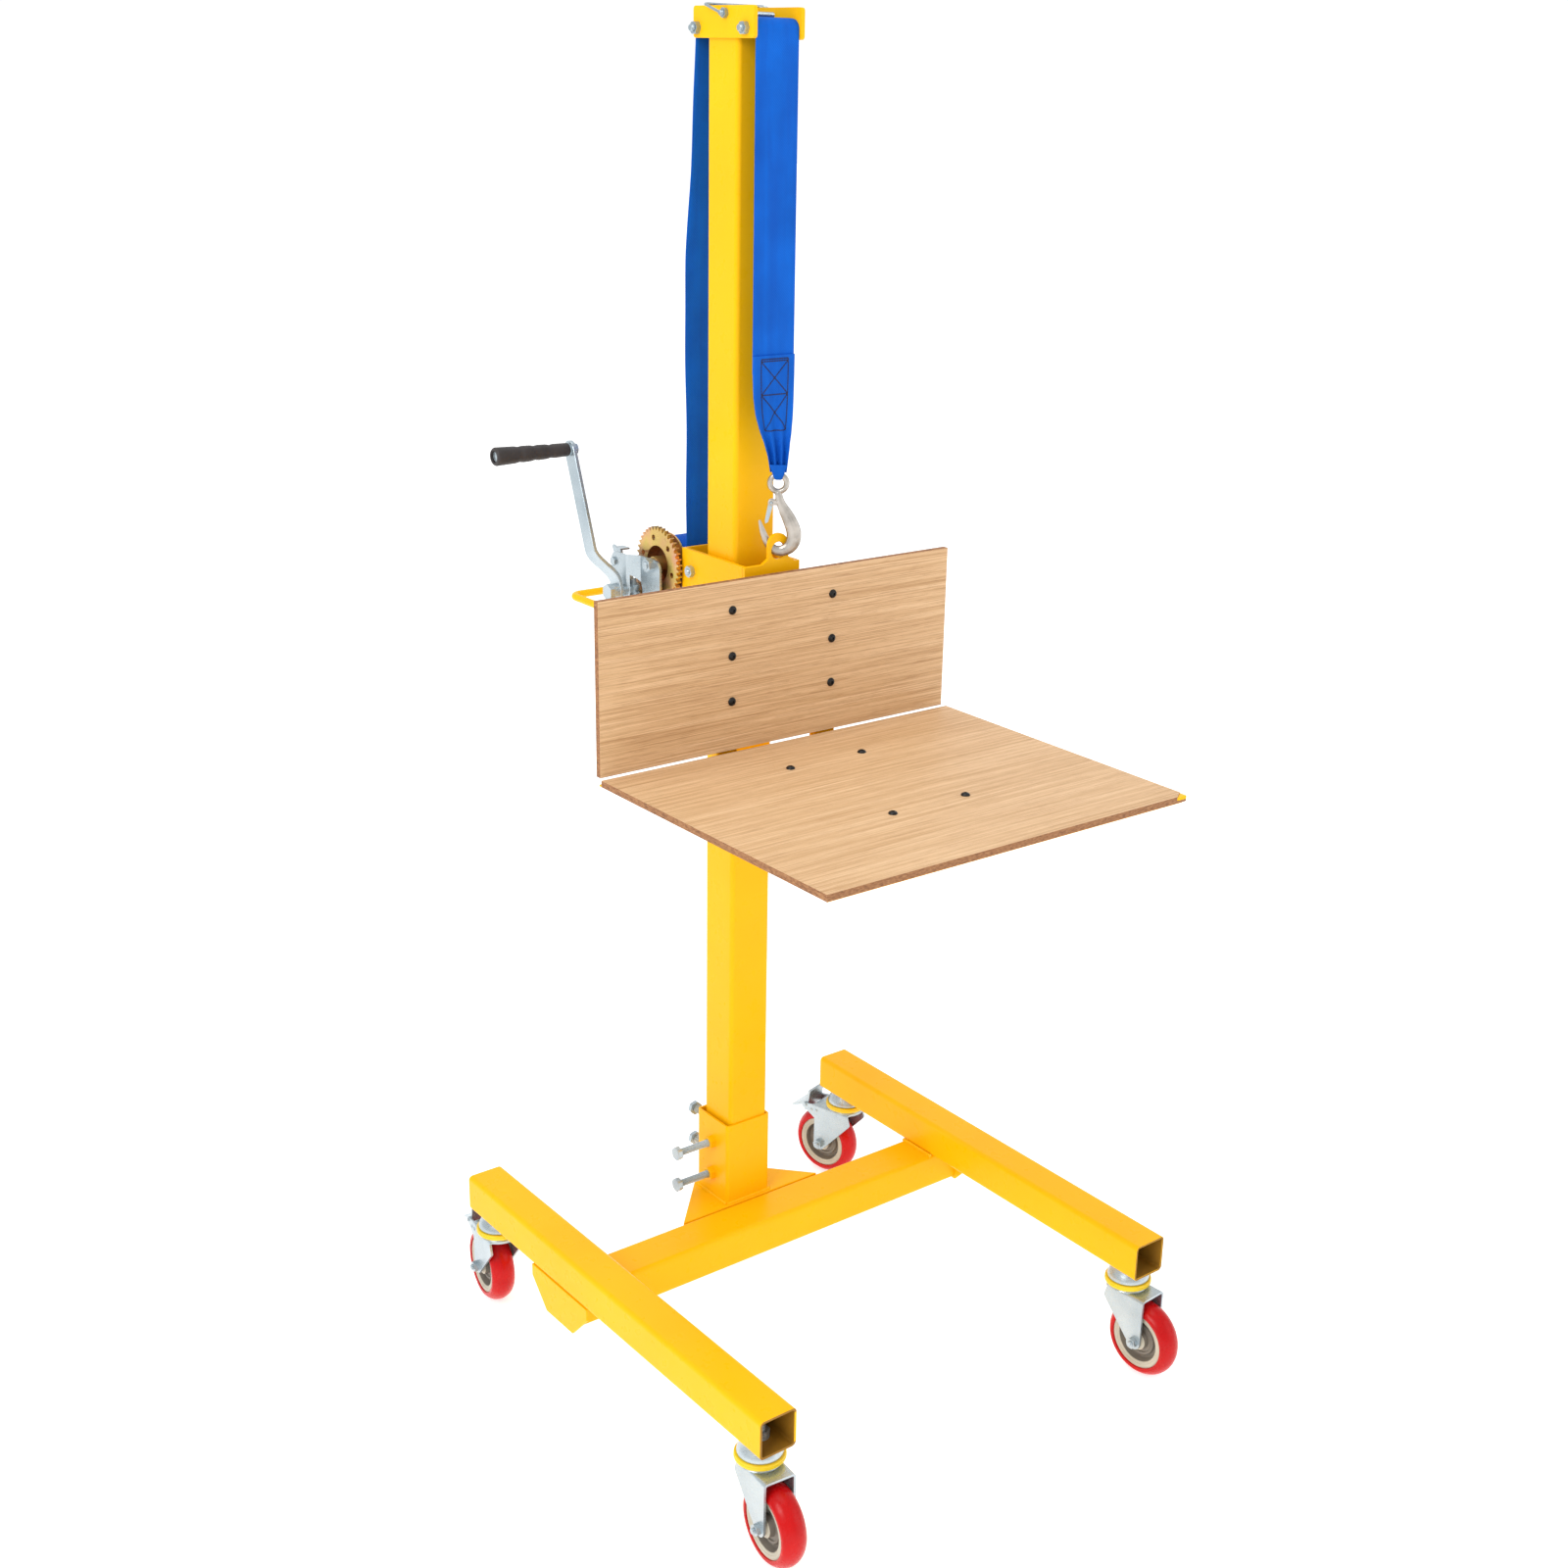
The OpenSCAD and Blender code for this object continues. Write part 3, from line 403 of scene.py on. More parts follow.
def soften(node, width=0.5, suffix="_soft"):
    """A copy of a CAD node with rounded edges."""
    bm = cad_copy(node)
    bmesh.ops.remove_doubles(bm, verts=bm.verts[:], dist=1e-3)
    bmesh.ops.dissolve_limit(bm, angle_limit=math.radians(1.0),
                             verts=bm.verts[:], edges=bm.edges[:])
    return fit_out(modified(new_object(node + suffix, bm), BEVEL=edge(width)), node)


def repaint(obj, material, chosen):
    """A second material on the faces that chosen picks out."""
    obj.data.materials.append(material)
    for face in obj.data.polygons:
        if chosen(face):
            face.material_index = 1


def joined(obj, *others):
    """One mesh out of several."""
    bm = bmesh.new()
    for part in (obj, *others):
        bm.from_mesh(part.data)
    bm.to_mesh(obj.data)
    bm.free()
    for part in others:
        bpy.data.objects.remove(part)
    return smooth(obj)


def loft(bm, rows, wrap=True, caps=True, at=None):
    """A skin over rows of points; a row may be a single point."""
    at = at or Matrix.Identity(4)
    rings = [[bm.verts.new(at @ Vector(p)) for p in row] for row in rows]
    for a, b in zip(rings, rings[1:]):
        count = max(len(a), len(b))
        for j in range(count if wrap else count - 1):
            corners = (a[j % len(a)], a[(j + 1) % len(a)], b[(j + 1) % len(b)], b[j % len(b)])
            corners = list(dict.fromkeys(corners))
            if len(corners) > 2:
                bm.faces.new(corners)
    for ring in (rings[0], rings[-1]) if caps else ():
        if len(ring) > 2:
            bm.faces.new(ring)
    return rings


def ring(x, radius, count):
    """Points round the X axis; radius is a number or a function of the angle."""
    if not callable(radius) and radius <= 0:
        return [(x, 0, 0)]
    size = radius if callable(radius) else lambda a: radius
    angles = [TAU * k / count for k in range(count)]
    return [(x, size(a) * math.cos(a), size(a) * math.sin(a)) for a in angles]


def turned(bm, profile, at=None, count=48, closed=False):
    """Turned shape from (along X, radius) points; closed makes a ring of the profile."""
    points = list(profile) + ([profile[0]] if closed else [])
    return loft(bm, [ring(x, r, count) for x, r in points], caps=not closed, at=at)


def hexagon(bm, x0, x1, flats, at=None, turn=0.0):
    """Hexagon along X with its outer end, at x1, chamfered."""
    out = 1 if x1 > x0 else -1
    corner = lambda a: flats / 2 / math.cos(
        (a + turn + math.pi / 6) % (math.pi / 3) - math.pi / 6)
    face, count = 0.94 * flats / 2, 36
    base, top = ring(x0, corner, count), ring(x1, face, count)
    drop = [0.5 * (corner(TAU * k / count) - face) for k in range(count)]
    rim = [(x1 - out * drop[k], *p[1:]) for k, p in enumerate(ring(x1, corner, count))]
    loft(bm, [base, rim, top], at=at)


def thread(bm, x0, x1, r, pitch=1.25, at=None):
    """Threaded rod along X with a chamfered tip at x1."""
    steps, count = max(2, int(abs(x1 - x0) / pitch * 4)), 20
    rows = []
    for k in range(steps + 1):
        x = x0 + (x1 - x0) * k / steps
        limit = r - max(0.0, 0.8 - abs(x1 - x))
        rows.append(ring(x, lambda a: min(
            limit, r - 0.3 * pitch * (1 + math.cos(TAU * x / pitch - a))), count))
    loft(bm, rows, at=at)


def washer(bm, x0, x1, r, at=None):
    """Disc along X, chamfered at x1."""
    c = 0.25 * (1 if x1 > x0 else -1)
    turned(bm, [(x0, 0), (x0, r), (x1 - c, r), (x1, r - abs(c)), (x1, 0)], at, 32)


def bolt(bm, xn, xh, r, flats, at=None, tail=3.0, turn=0.3):
    """Bolt along X: nut and thread end outside xn, chamfered head outside xh."""
    hexagon(bm, xn, xn - 1.6 * r, flats, at, turn)
    thread(bm, xn - 1.6 * r + 0.5, xn - 1.6 * r - tail, r, at=at)
    turned(bm, [(xn - 1, r), (xh, r)], at, 24)
    hexagon(bm, xh, xh + 1.3 * r, flats, at, turn + 0.4)


# ---- casters ----

CASTERS = ("fl", "fr", "bl", "br")
SWIVEL = dict(zip(CASTERS, (5, -4, 8, -16)))
TRAIL, AXLE_Z, FORK_OUT = 33, 51, 21
FORK_BACK = 43
FOOT_R = 10                             # the fork's rounded ends, round the axle


def caster_at(which):
    """Frame of a caster: swivel axis at x = y = 0, wheel trailing along +Y."""
    front = which[0] == "f"
    angle = math.radians((180 if front else 0) - SWIVEL[which])
    x = -TUBE_X if which[1] == "l" else TUBE_X
    return shift(x, FRONT_CASTERS_Y if front else BACK_CASTERS_Y) @ Matrix.Rotation(angle, 4, "Z")


def fork_edges(z, braked):
    """Front and back edge of the fork's side at height z."""
    if z >= 96:
        low = -21 + (z - 96) * 6 / 19
    elif z >= 43.8:
        low = 26 - (z - 43.8) * 47 / 52.2
    else:
        low = TRAIL - math.sqrt(max(0.0, FOOT_R ** 2 - (AXLE_Z - z) ** 2))
    high = FORK_BACK
    if z < AXLE_Z:
        high = TRAIL + math.sqrt(max(0.0, FOOT_R ** 2 - (AXLE_Z - z) ** 2))
    if braked and z > 91.1:         # the ear that carries the brake
        high = 38 + (z - 88) * 21 / 13
        if z >= 101:
            high = min(59 + (z - 101) * 7 / 3, 66, 66 - (z - 108) * 1.2)
    return low, high


def make_fork(which):
    """Pressed fork: one bent sheet with round shoulders, and the swivel race raised on top."""
    braked = which[0] == "b"
    heights = [41.15, 41.8, 43, 45, 48, 51, 58, 68, 80, 88, 91.1, 94, 97, 101, 102.5, 104, 107,
               110]
    bend, top_z, top_r, columns = 5.0, 115.0, 26, 14
    side = []
    for z in heights:
        low, high = fork_edges(z, braked)
        side.append((FORK_OUT, z, low, high))
    low0, high0 = side[-1][2:]
    for k in range(1, 6):
        a = math.pi / 2 * k / 5
        f = k / 5
        side.append((FORK_OUT - bend + bend * math.cos(a), top_z - bend + bend * math.sin(a),
                     low0 + (-20.5 - low0) * f, high0 + (FORK_BACK - high0) * min(1, 2 * f)))
    for x in (12, 8, 4, 0):
        side.append((x, top_z, -math.sqrt(top_r ** 2 - x * x), FORK_BACK))
    rows = side + [(-x, z, low, high) for x, z, low, high in side[-2::-1]]
    bm = bmesh.new()
    loft(bm, [[(x, low + (high - low) * j / columns, z) for j in range(columns + 1)]
              for x, z, low, high in rows], wrap=False, caps=False, at=caster_at(which))
    obj = new_object("fork_sheet_" + which, bm)
    centre = MM * (TO_ROW @ caster_at(which) @ Vector((0, 20, 80)))
    middle = obj.data.polygons[len(obj.data.polygons) // 6]
    inward = (centre - middle.center).dot(middle.normal) > 0
    obj = modified(obj, SOLIDIFY=dict(thickness=3 * MM, offset=1.0 if inward else -1.0),
                   BEVEL=edge(0.45, 50))
    bm = bmesh.new()
    at = caster_at(which) @ UPRIGHT
    race = [(114.6, 0), (114.6, 26), (115.4, 25.9), (116.4, 24.9), (118.2, 24.3), (119, 23.4),
            (119, 0)]
    turned(bm, race, at, 64)
    if braked:
        for y, z in ((TRAIL + 16, 103), (TRAIL + 7, 104)):
            for s in (-1, 1):
                rivet = [(s * 20.5, 2.6), (s * 21.6, 2.4), (s * 22.2, 1.5), (s * 22.4, 0)]
                turned(bm, rivet, caster_at(which) @ shift(0, y, z), 20)
    fit_out(joined(obj, new_object("race_" + which, bm)), "fork_" + which)


def make_axle(which):
    """Axle bolt, with its head on the lift's left on every caster."""
    bm = bmesh.new()
    at = caster_at(which) @ shift(0, TRAIL, AXLE_Z)
    if which[0] == "f":
        at = at @ Matrix.Rotation(math.pi, 4, "Z")
    bolt(bm, -FORK_OUT, FORK_OUT, 4, 13, at)
    fit_out(new_object("axle_bolt_" + which, bm), "axle_" + which)


def make_wheel(which):
    """Crowned tread on a moulded hub with a pale rim, a deep recess darkened as painted shade, and a
    stepped boss.
    """
    at = caster_at(which) @ shift(0, TRAIL, AXLE_Z)
    tread = [(-14.6, 38), (-15.7, 38.5), (-15.95, 40.5), (-15.9, 42.2)]
    crown_r = 19
    crown = [(x, AXLE_Z - crown_r + math.sqrt(crown_r ** 2 - x * x))
             for x in (-15.4, -14.4, -13, -11, -8.5, -5.5, -2.5, -0.5)]
    half = tread + crown + [(-0.25, 50.9)]
    bm = bmesh.new()
    turned(bm, half + [(-x, r) for x, r in half[::-1]], at, 128, closed=True)
    fit_out(new_object("tread_" + which, bm), "tyre_" + which)
    face = [(4.05, -17.3), (8.4, -17.4), (9, -17), (9.4, -15.2), (12.6, -14.9), (13.1, -14.3),
            (13.9, -7.4), (17.6, -6.8), (18.4, -6.9), (19, -8.2), (21.6, -8.4), (22.3, -7.6),
            (23.2, -5.2), (26.6, -4.6), (27.4, -5.2), (29.6, -12.6), (30.4, -13.4), (32.6, -13.8),
            (33, -14.3), (36.6, -14.5), (37.9, -14)]
    profile = [(x, r) for r, x in face] + [(-x, r) for r, x in face[::-1]]
    bm = bmesh.new()
    turned(bm, profile, at, 96, closed=True)
    obj = new_object("hub_moulding_" + which, bm, 24)
    fit_out(obj, "hub_" + which)
    centre, axis = MM * (TO_ROW @ at).translation, (TO_ROW @ at).to_3x3() @ Vector((1, 0, 0))

    def in_shaded_recess(face):
        off = face.center - centre
        return 13.2 < (off - axis * off.dot(axis)).length / MM < 29.4

    # Painted shade on the hub's recess, between the rim and the boss.
    repaint(obj, HUB_RECESS_SHADE, in_shaded_recess)


def make_stems():
    """Stems with their nuts inside the tubes, and the pale domes under the tubes."""
    bm = bmesh.new()
    for which in CASTERS:
        at = caster_at(which) @ UPRIGHT
        turned(bm, [(105, 0), (105, 8.5), (105.6, 9.7), (107, 10), (111.4, 10), (111.4, 0)], at, 32)
        turned(bm, [(108, 6), (144, 6)], at, 24)
        dome = [(126, 0), (126, 25.4), (126.6, 26.6), (128, 27), (130.4, 26.6), (133, 25.6),
                (136, 24), (139, 22.2), (141.9, 20.9), (141.9, 0)]
        turned(bm, dome, at, 64)
        turned(bm, [(145, 0), (145, 10.4), (146.2, 10.4), (146.2, 0)], at, 32)
        hexagon(bm, 146.2, 155, 18.8, at, 0.35)
        thread(bm, 154.5, 162, 6, 1.5, at)
    fit_out(new_object("stems", bm), "caster_stems")


def make_rings():
    """Moulded dust rings with a stepped edge."""
    profile = [(119.3, 6.2), (119.3, 28.6), (119.9, 29.6), (121.2, 30), (122.9, 29.9), (123.3, 29.3),
               (123.9, 29.3), (124.3, 29.8), (125.4, 29.6), (126, 28.8), (126, 6.2)]
    bm = bmesh.new()
    for which in CASTERS:
        turned(bm, profile, caster_at(which) @ UPRIGHT, 72, closed=True)
    fit_out(new_object("dust_rings", bm, 24), "caster_rings")


def make_side_tube(node, x0):
    """Side tube whose inner walls get a darker paint as painted shade."""
    repaint(soften(node), PAINTED_TUBE_SHADE, lambda face: max(
        abs(face.center.x / MM - x0), abs(face.center.z / MM - TUBE_Z)) < TUBE_WALLS)


def make_pinion():
    """Pinion shaft: everything outside the winch frame is bright zinc."""
    frame_x = -54
    repaint(soften("pinion_shaft", 0.4), MATERIALS["zinc"],
            lambda face: face.center.x / MM < frame_x)


def make_gear():
    """Drum gear with a red-brown film over its cup and hub."""
    cup_r = 30
    centre = (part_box("drum_gear")[0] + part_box("drum_gear")[1]) / 2
    repaint(soften("drum_gear", 0.45), CUP_FILM, lambda face: math.hypot(
        face.center.y - centre.y, face.center.z - centre.z) < cup_r * MM)


def make_welds():
    """Painted weld beads round the mast's socket and where the side tubes sit on the cross tube."""
    cross_top = 142
    socket = [(-37, -33), (33, -33), (33, 37), (-37, 37)]
    lines = list(zip(socket, socket[1:] + socket[:1]))
    lines += [((s * 269.5, -97), (s * 269.5, -39)) for s in (-1, 1)]
    bm = bmesh.new()
    for a, b in lines:
        a, b = Vector((*a, cross_top)), Vector((*b, cross_top))
        along = (b - a).normalized()
        wide, steps = along.cross(Vector((0, 0, 1))), int((b - a).length / 0.7)
        rows = []
        for k in range(steps + 1):
            size = 2.5 + 0.35 * abs(math.sin(k * 0.62)) + 0.15 * math.sin(k * 1.7)
            here = a + (b - a) * (k / steps)
            rows.append([here + (wide * math.cos(w) + Vector((0, 0, 1)) * math.sin(w)) * size
                         for w in (TAU * i / 12 for i in range(12))])
        loft(bm, rows)
    obj = even(new_object("weld_beads", bm, 60))
    paint(obj, MATERIALS["yellow_paint"])
    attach(obj, "base")


# ---- fasteners ----

def make_clamp_bolts():
    """Full-thread bolts with jam nuts, two on the mast's left face and two on its back face."""
    bm = bmesh.new()
    for z in (175, 222):
        for at in (shift(0, 2, z), shift(-2, 0, z) @ TO_FRONT):
            thread(bm, -90.4, -30, 5, 1.5, at)
            hexagon(bm, -90, -96.5, 17, at, 0.25)
            washer(bm, -90.1, -89.2, 7.2, at)
    fit_out(new_object("clamp_bolt_set", bm), "clamp_bolts")


def make_head_bolts():
    """Roller bolts, and the threaded tie bolt that the bail swings on."""
    bm = bmesh.new()
    for y in HEAD_ROLLERS_Y:
        bolt(bm, -35, 35, 4, 13, shift(0, y, HEAD_ROLLERS_Z), 4.0, 0.6)
    at = shift(0, -13, 1638)
    thread(bm, 0, -44, 3, 1.0, at)
    thread(bm, 0, 44, 3, 1.0, at)
    hexagon(bm, -35, -40, 10, at, 0.2)
    hexagon(bm, 35, 40, 10, at, 0.2)
    fit_out(new_object("head_bolt_set", bm), "head_bolts")


def make_carriage_bolts():
    """Guide roller bolts, drum bolt, the pawl's stud and the four bolts of the winch shelf."""
    bm = bmesh.new()
    for y, z in ((44.5, 997), (-44.5, 897)):
        bolt(bm, -41, 41, 4, 13, shift(0, y, z), 2.0)
    bolt(bm, -60, 43, 5, 16, shift(0, *DRUM), 2.0, 0.1)
    at = shift(0, 171, 989)
    turned(bm, [(-75, 4), (-60, 4)], at, 24)
    hexagon(bm, -73, -76, 10, at)
    hexagon(bm, -62.3, -59.3, 10, at)
    for x in (-36.5, 31.5):
        for y in (100, 165):
            at = shift(x, y, 917) @ UPRIGHT
            thread(bm, 0, 13, 4, at=at)
            turned(bm, [(-5, 3.6), (0, 4)], at, 24)
            hexagon(bm, 0, -5.5, 13, at, 0.3)
            hexagon(bm, 8, 13, 13, at, 0.1)
            washer(bm, 8, 9.2, 7.4, at)
    fit_out(new_object("carriage_bolt_set", bm), "carriage_bolts")


def make_board_screws():
    """Button heads with a six-sided socket."""
    bm = bmesh.new()
    spots = [shift(s * 75, BOARD_FACE_Y, z) @ TO_FRONT for s in (-1, 1) for z in (869, 925, 981)]
    spots += [shift(s * 54, DECK_Y + y, DECK_Z) @ UPRIGHT for s in (-1, 1) for y in (-88, -276)]
    profile = ((-13.5, 2.6), (-13.5, 3), (0, 3), (0, 5.2), (0.35, 5.4), (1.2, 5.2), (2.1, 4.5),
               (2.8, 3.4), (3.08, 2.5))
    hexed = lambda a: 1.9 / math.cos((a + math.pi / 6) % (math.pi / 3) - math.pi / 6)
    for at in spots:
        rows = [ring(x, r, 36) for x, r in profile]
        rows += [ring(3.05, hexed, 36), ring(1.5, hexed, 36)]
        loft(bm, rows, at=at)
    fit_out(new_object("button_screws", bm), "board_screws")


# ---- winch crank ----

def crank_at():
    """Frame of the crank: Z runs up the bar from the pinion shaft."""
    return shift(0, *PINION) @ Matrix.Rotation(-CRANK_LEAN, 4, "X")


def make_crank():
    """Flat bar with a smooth S-bend and round ends, the shaft nut below and the grip's spindle above."""
    low_x, offset, bend_z, bend_len, half_bar, half_thick = -82.5, 27, 12, 44, 11, 2.5
    line = [(low_x, z) for z in (-11, -10, -8, -5, 0, 8)]
    line += [(low_x - offset * (3 * t * t - 2 * t ** 3), bend_z + bend_len * t)
             for t in (k / 14 for k in range(15))]
    line += [(low_x - offset, z) for z in (70, 100, 130, 160, 175, 183, 188, 191, 193, 194)]
    rows = []
    for k, (x, z) in enumerate(line):
        a, b = line[max(k - 1, 0)], line[min(k + 1, len(line) - 1)]
        along = Vector((b[0] - a[0], b[1] - a[1])).normalized()
        off = 0 if 0 <= z <= CRANK_LEN else (-z if z < 0 else z - CRANK_LEN)
        half = math.sqrt(max(0.2, half_bar ** 2 - off * off))
        nx, nz = -along[1] * half_thick, along[0] * half_thick
        rim = min(0.6, half / 2)
        outline = [(-half, -1 + 0.24), (-half + rim, -1), (0, -1), (half - rim, -1), (half, -0.76),
                   (half, 0.76), (half - rim, 1), (0, 1), (-half + rim, 1), (-half, 0.76)]
        rows.append([(x + nx * t, y, z + nz * t) for y, t in outline])
    at = crank_at()
    bm = bmesh.new()
    loft(bm, rows, at=at)
    top = at @ shift(0, 0, CRANK_LEN)
    spindle = [(-111, 7.4), (-113.4, 7.4), (-113.8, 5), (-212, 5), (-212, 7), (-214.4, 7),
               (-215, 6.2), (-215, 0)]
    turned(bm, spindle, top, 36)
    turned(bm, [(-107.2, 0), (-107.2, 7.6), (-106.2, 7.6), (-106.2, 0)], top, 32)
    hexagon(bm, -106.2, -101.2, 13, top, 0.2)
    fit_out(new_object("crank_bar", bm, 40), "crank_arm")


def make_grip():
    """Tapered rubber grip: four soft swells, a collar at the arm and a dished end."""
    steps, length = 84, 105
    outer = []
    for k in range(steps + 1):
        s = length * k / steps
        r = 8.2 + 3.2 * (s / length) ** 1.1
        for groove in (27, 49, 71):
            r -= 0.9 * math.exp(-((s - groove) / 3.6) ** 2)
        r -= 1.9 * max(0.0, 1 - s / 2.2) ** 2 + 1.8 * max(0.0, (s - 102.4) / 2.6) ** 2
        outer.append((-s, r + 0.10 * math.cos(TAU * s / 2.1)))
    bm = bmesh.new()
    inner = [(-length, 7.4), (-98.6, 7.4), (-98.4, 5.1), (0, 5.1)]
    turned(bm, outer + inner, crank_at() @ shift(-112.6, 0, CRANK_LEN), 64, closed=True)
    fit_out(new_object("grip_moulding", bm), "crank_grip")


# ---- hook ----

HOOK_AT = shift(9, -63.5) @ Matrix.Rotation(math.radians(-39), 4, "Z")


def make_hook():
    """Drop forging: the CAD shape melted together so that every joint has a fillet."""
    obj = new_object("hook_forging", cad_copy("hook_body"))
    obj = modified(obj, REMESH=dict(mode="VOXEL", voxel_size=0.55 * MM, adaptivity=0.0),
                   SMOOTH=dict(factor=0.5, iterations=4))
    fit_out(smooth(obj, 60), "hook_body")


# ---- boards ----

def make_board(node):
    """Oak-faced board: sanded faces, darker cut edges."""
    flat = 1 if node == "back_board" else 2
    repaint(soften(node, suffix="_veneer"), OAK_EDGE, lambda face: abs(face.normal[flat]) < 0.85)


# ---- webbing ----

def ribbon(name, line, widths=None, ripple=0.0):
    """A webbing run along (y, z) points: selvedges thinner, faint waves along the edges."""
    columns = 24
    widths = widths or [STRAP_HALF] * len(line)
    rows = []
    for k, (y, z) in enumerate(line):
        a, b = line[max(k - 1, 0)], line[min(k + 1, len(line) - 1)]
        along = Vector((b[0] - a[0], b[1] - a[1])).normalized()
        ny, nz = along[1], -along[0]
        half = widths[k]
        row = []
        for side in (-1, 1):
            for j in range(columns + 1):
                u = (2 * j / columns - 1) * -side
                body = STRAP_T / 2 * (1 if abs(u) < 0.93 else 0.55 + 0.45 * (1 - abs(u)) / 0.07)
                wave = ripple * u * u * math.sin(z * 0.041 + 2.2 * u)
                off = side * body + wave
                row.append((u * half, y + ny * off, z + nz * off))
        rows.append(row)
    bm = bmesh.new()
    loft(bm, rows)
    return new_object(name, bm, 40)


def curve(points, count):
    """Catmull-Rom points through the given ones."""
    out = []
    last = len(points) - 1
    for k in range(last):
        p = [Vector(points[min(max(k + d, 0), last)]) for d in (-1, 0, 1, 2)]
        for j in range(count):
            t = j / count
            square = 2 * p[0] - 5 * p[1] + 4 * p[2] - p[3]
            cube = p[3] - p[0] + 3 * (p[1] - p[2])
            out.append(tuple(0.5 * (2 * p[1] + (p[2] - p[0]) * t + square * t * t + cube * t ** 3)))
    return out + [tuple(points[-1])]


SEWN_TOP, SEWN_LOW, SEWN_Y = 1269, 1132.5, -63.4
SEWN_ROWS = (       # height, middle, half width, pleat depth, thickness and turn in degrees
    (SEWN_TOP, 0, 29.5, 0, 3.9, 0), (1245, 0, 29.4, 0, 3.9, 0), (1222, 0.3, 28.6, 0.15, 3.9, 0),
    (1202, 1.2, 25.8, 0.7, 4.0, -3), (1184, 2.9, 21.0, 1.7, 4.2, -9), (1168, 5.2, 15.8, 2.9, 4.6, -20),
    (1153, 7.6, 12.6, 3.5, 5.4, -31), (1141, 8.8, 11.0, 3.3, 6.4, -38),
    (SEWN_LOW, 9.0, 9.8, 2.4, 6.6, -39))


def end_shape(z):
    """Sewn end at height z: middle, half width, pleat depth, thickness and turn."""
    for a, b in zip(SEWN_ROWS, SEWN_ROWS[1:]):
        if z >= b[0]:
            t = (a[0] - z) / (a[0] - b[0])
            return [p + (q - p) * t for p, q in zip(a[1:], b[1:])]
    return list(SEWN_ROWS[-1][1:])


def end_point(u, z, out):
    """Point of the sewn end, u from -1 to 1 across it and out from its middle, pleats added."""
    middle, half, pleat, _, turn = end_shape(z)
    turn = math.radians(turn)
    across, out = u * half, out + pleat * math.cos(3 * math.pi * u)
    return (middle + across * math.cos(turn) - out * math.sin(turn),
            SEWN_Y + across * math.sin(turn) + out * math.cos(turn), z)


def make_strap_end():
    """Doubled end: flat where it is sewn, gathered into pleats below and looped through the hook's eye."""
    columns, steps = 36, 57
    rows = []
    for k in range(steps + 1):
        z = SEWN_TOP - (SEWN_TOP - SEWN_LOW) * k / steps
        thick = end_shape(z)[3]
        row = []
        for side in (-1, 1):
            for j in range(columns + 1):
                u = (2 * j / columns - 1) * -side
                row.append(end_point(u, z, side * thick / 2 * (1 if abs(u) < 0.95 else 0.6)))
        rows.append(row)
    bm = bmesh.new()
    loft(bm, rows)
    loop_z, loop_r = 1129, 5.0
    legs = []
    for k in range(27):
        a = math.pi * (k - 7) / 12
        if k < 7:
            y, z = -loop_r - 0.6 * (7 - k) / 7, loop_z + 1.8 * (7 - k)
        elif k <= 19:
            y, z = -loop_r * math.cos(a), loop_z - loop_r * math.sin(a)
        else:
            y, z = loop_r + 0.6 * (k - 19) / 7, loop_z + 1.8 * (k - 19)
        rise = max(0.0, z - loop_z + loop_r)
        legs.append((y, z, 4.2 + 0.32 * rise))
    rows = []
    for k, (y, z, half) in enumerate(legs):
        a, b = legs[max(k - 1, 0)], legs[min(k + 1, len(legs) - 1)]
        along = Vector((b[0] - a[0], b[1] - a[1])).normalized()
        rows.append([(half * math.cos(w) * (1 + 0.10 * math.cos(2 * w)),
                      y + along[1] * 1.6 * math.sin(w) * (1 - 0.25 * math.cos(2 * w) ** 2),
                      z - along[0] * 1.6 * math.sin(w) * (1 - 0.25 * math.cos(2 * w) ** 2))
                     for w in (TAU * i / 28 for i in range(28))])
    loft(bm, rows, at=HOOK_AT)
    fit_out(new_object("sewn_end", bm, 50), "strap_end")


def make_stitching():
    """Two crossed boxes of heavy thread, laid on the sewn end's outer face."""
    bm = bmesh.new()
    side, first, second, middle_z, last = 0.66, 1265, 1262.6, 1224, 1182
    lines = [((-side, z), (side, z)) for z in (first, second, middle_z, last)]
    lines += [((s * side, first), (s * side, last)) for s in (-1, 1)]
    for top, low in ((second, middle_z), (middle_z, last)):
        lines += [((-side, top), (side, low)), ((side, top), (-side, low))]
    for a, b in lines:
        span = math.hypot((b[0] - a[0]) * 28, b[1] - a[1])
        count = max(2, round(span / 3.4))
        for k in range(count):
            ends = []
            for t in ((k + 0.05) / count, (k + 0.95) / count):
                u, z = a[0] + (b[0] - a[0]) * t, a[1] + (b[1] - a[1]) * t
                ends.append(Vector(end_point(u, z, -end_shape(z)[3] / 2 - 0.12)))
            along = (ends[1] - ends[0]).normalized()
            wide = along.cross(Vector((0, 1, 0))).normalized() * 0.85
            out = Vector((0, -0.5, 0))
            middle = (ends[0] + ends[1]) / 2
            rows = [[end - wide * 0.75, end + out * 0.2, end + wide * 0.75] for end in ends]
            loft(bm, [rows[0], [middle - wide, middle + out, middle + wide], rows[1]])
    obj = new_object("stitching", bm, 60)
    paint(obj, THREAD)
    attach(obj, "carriage")


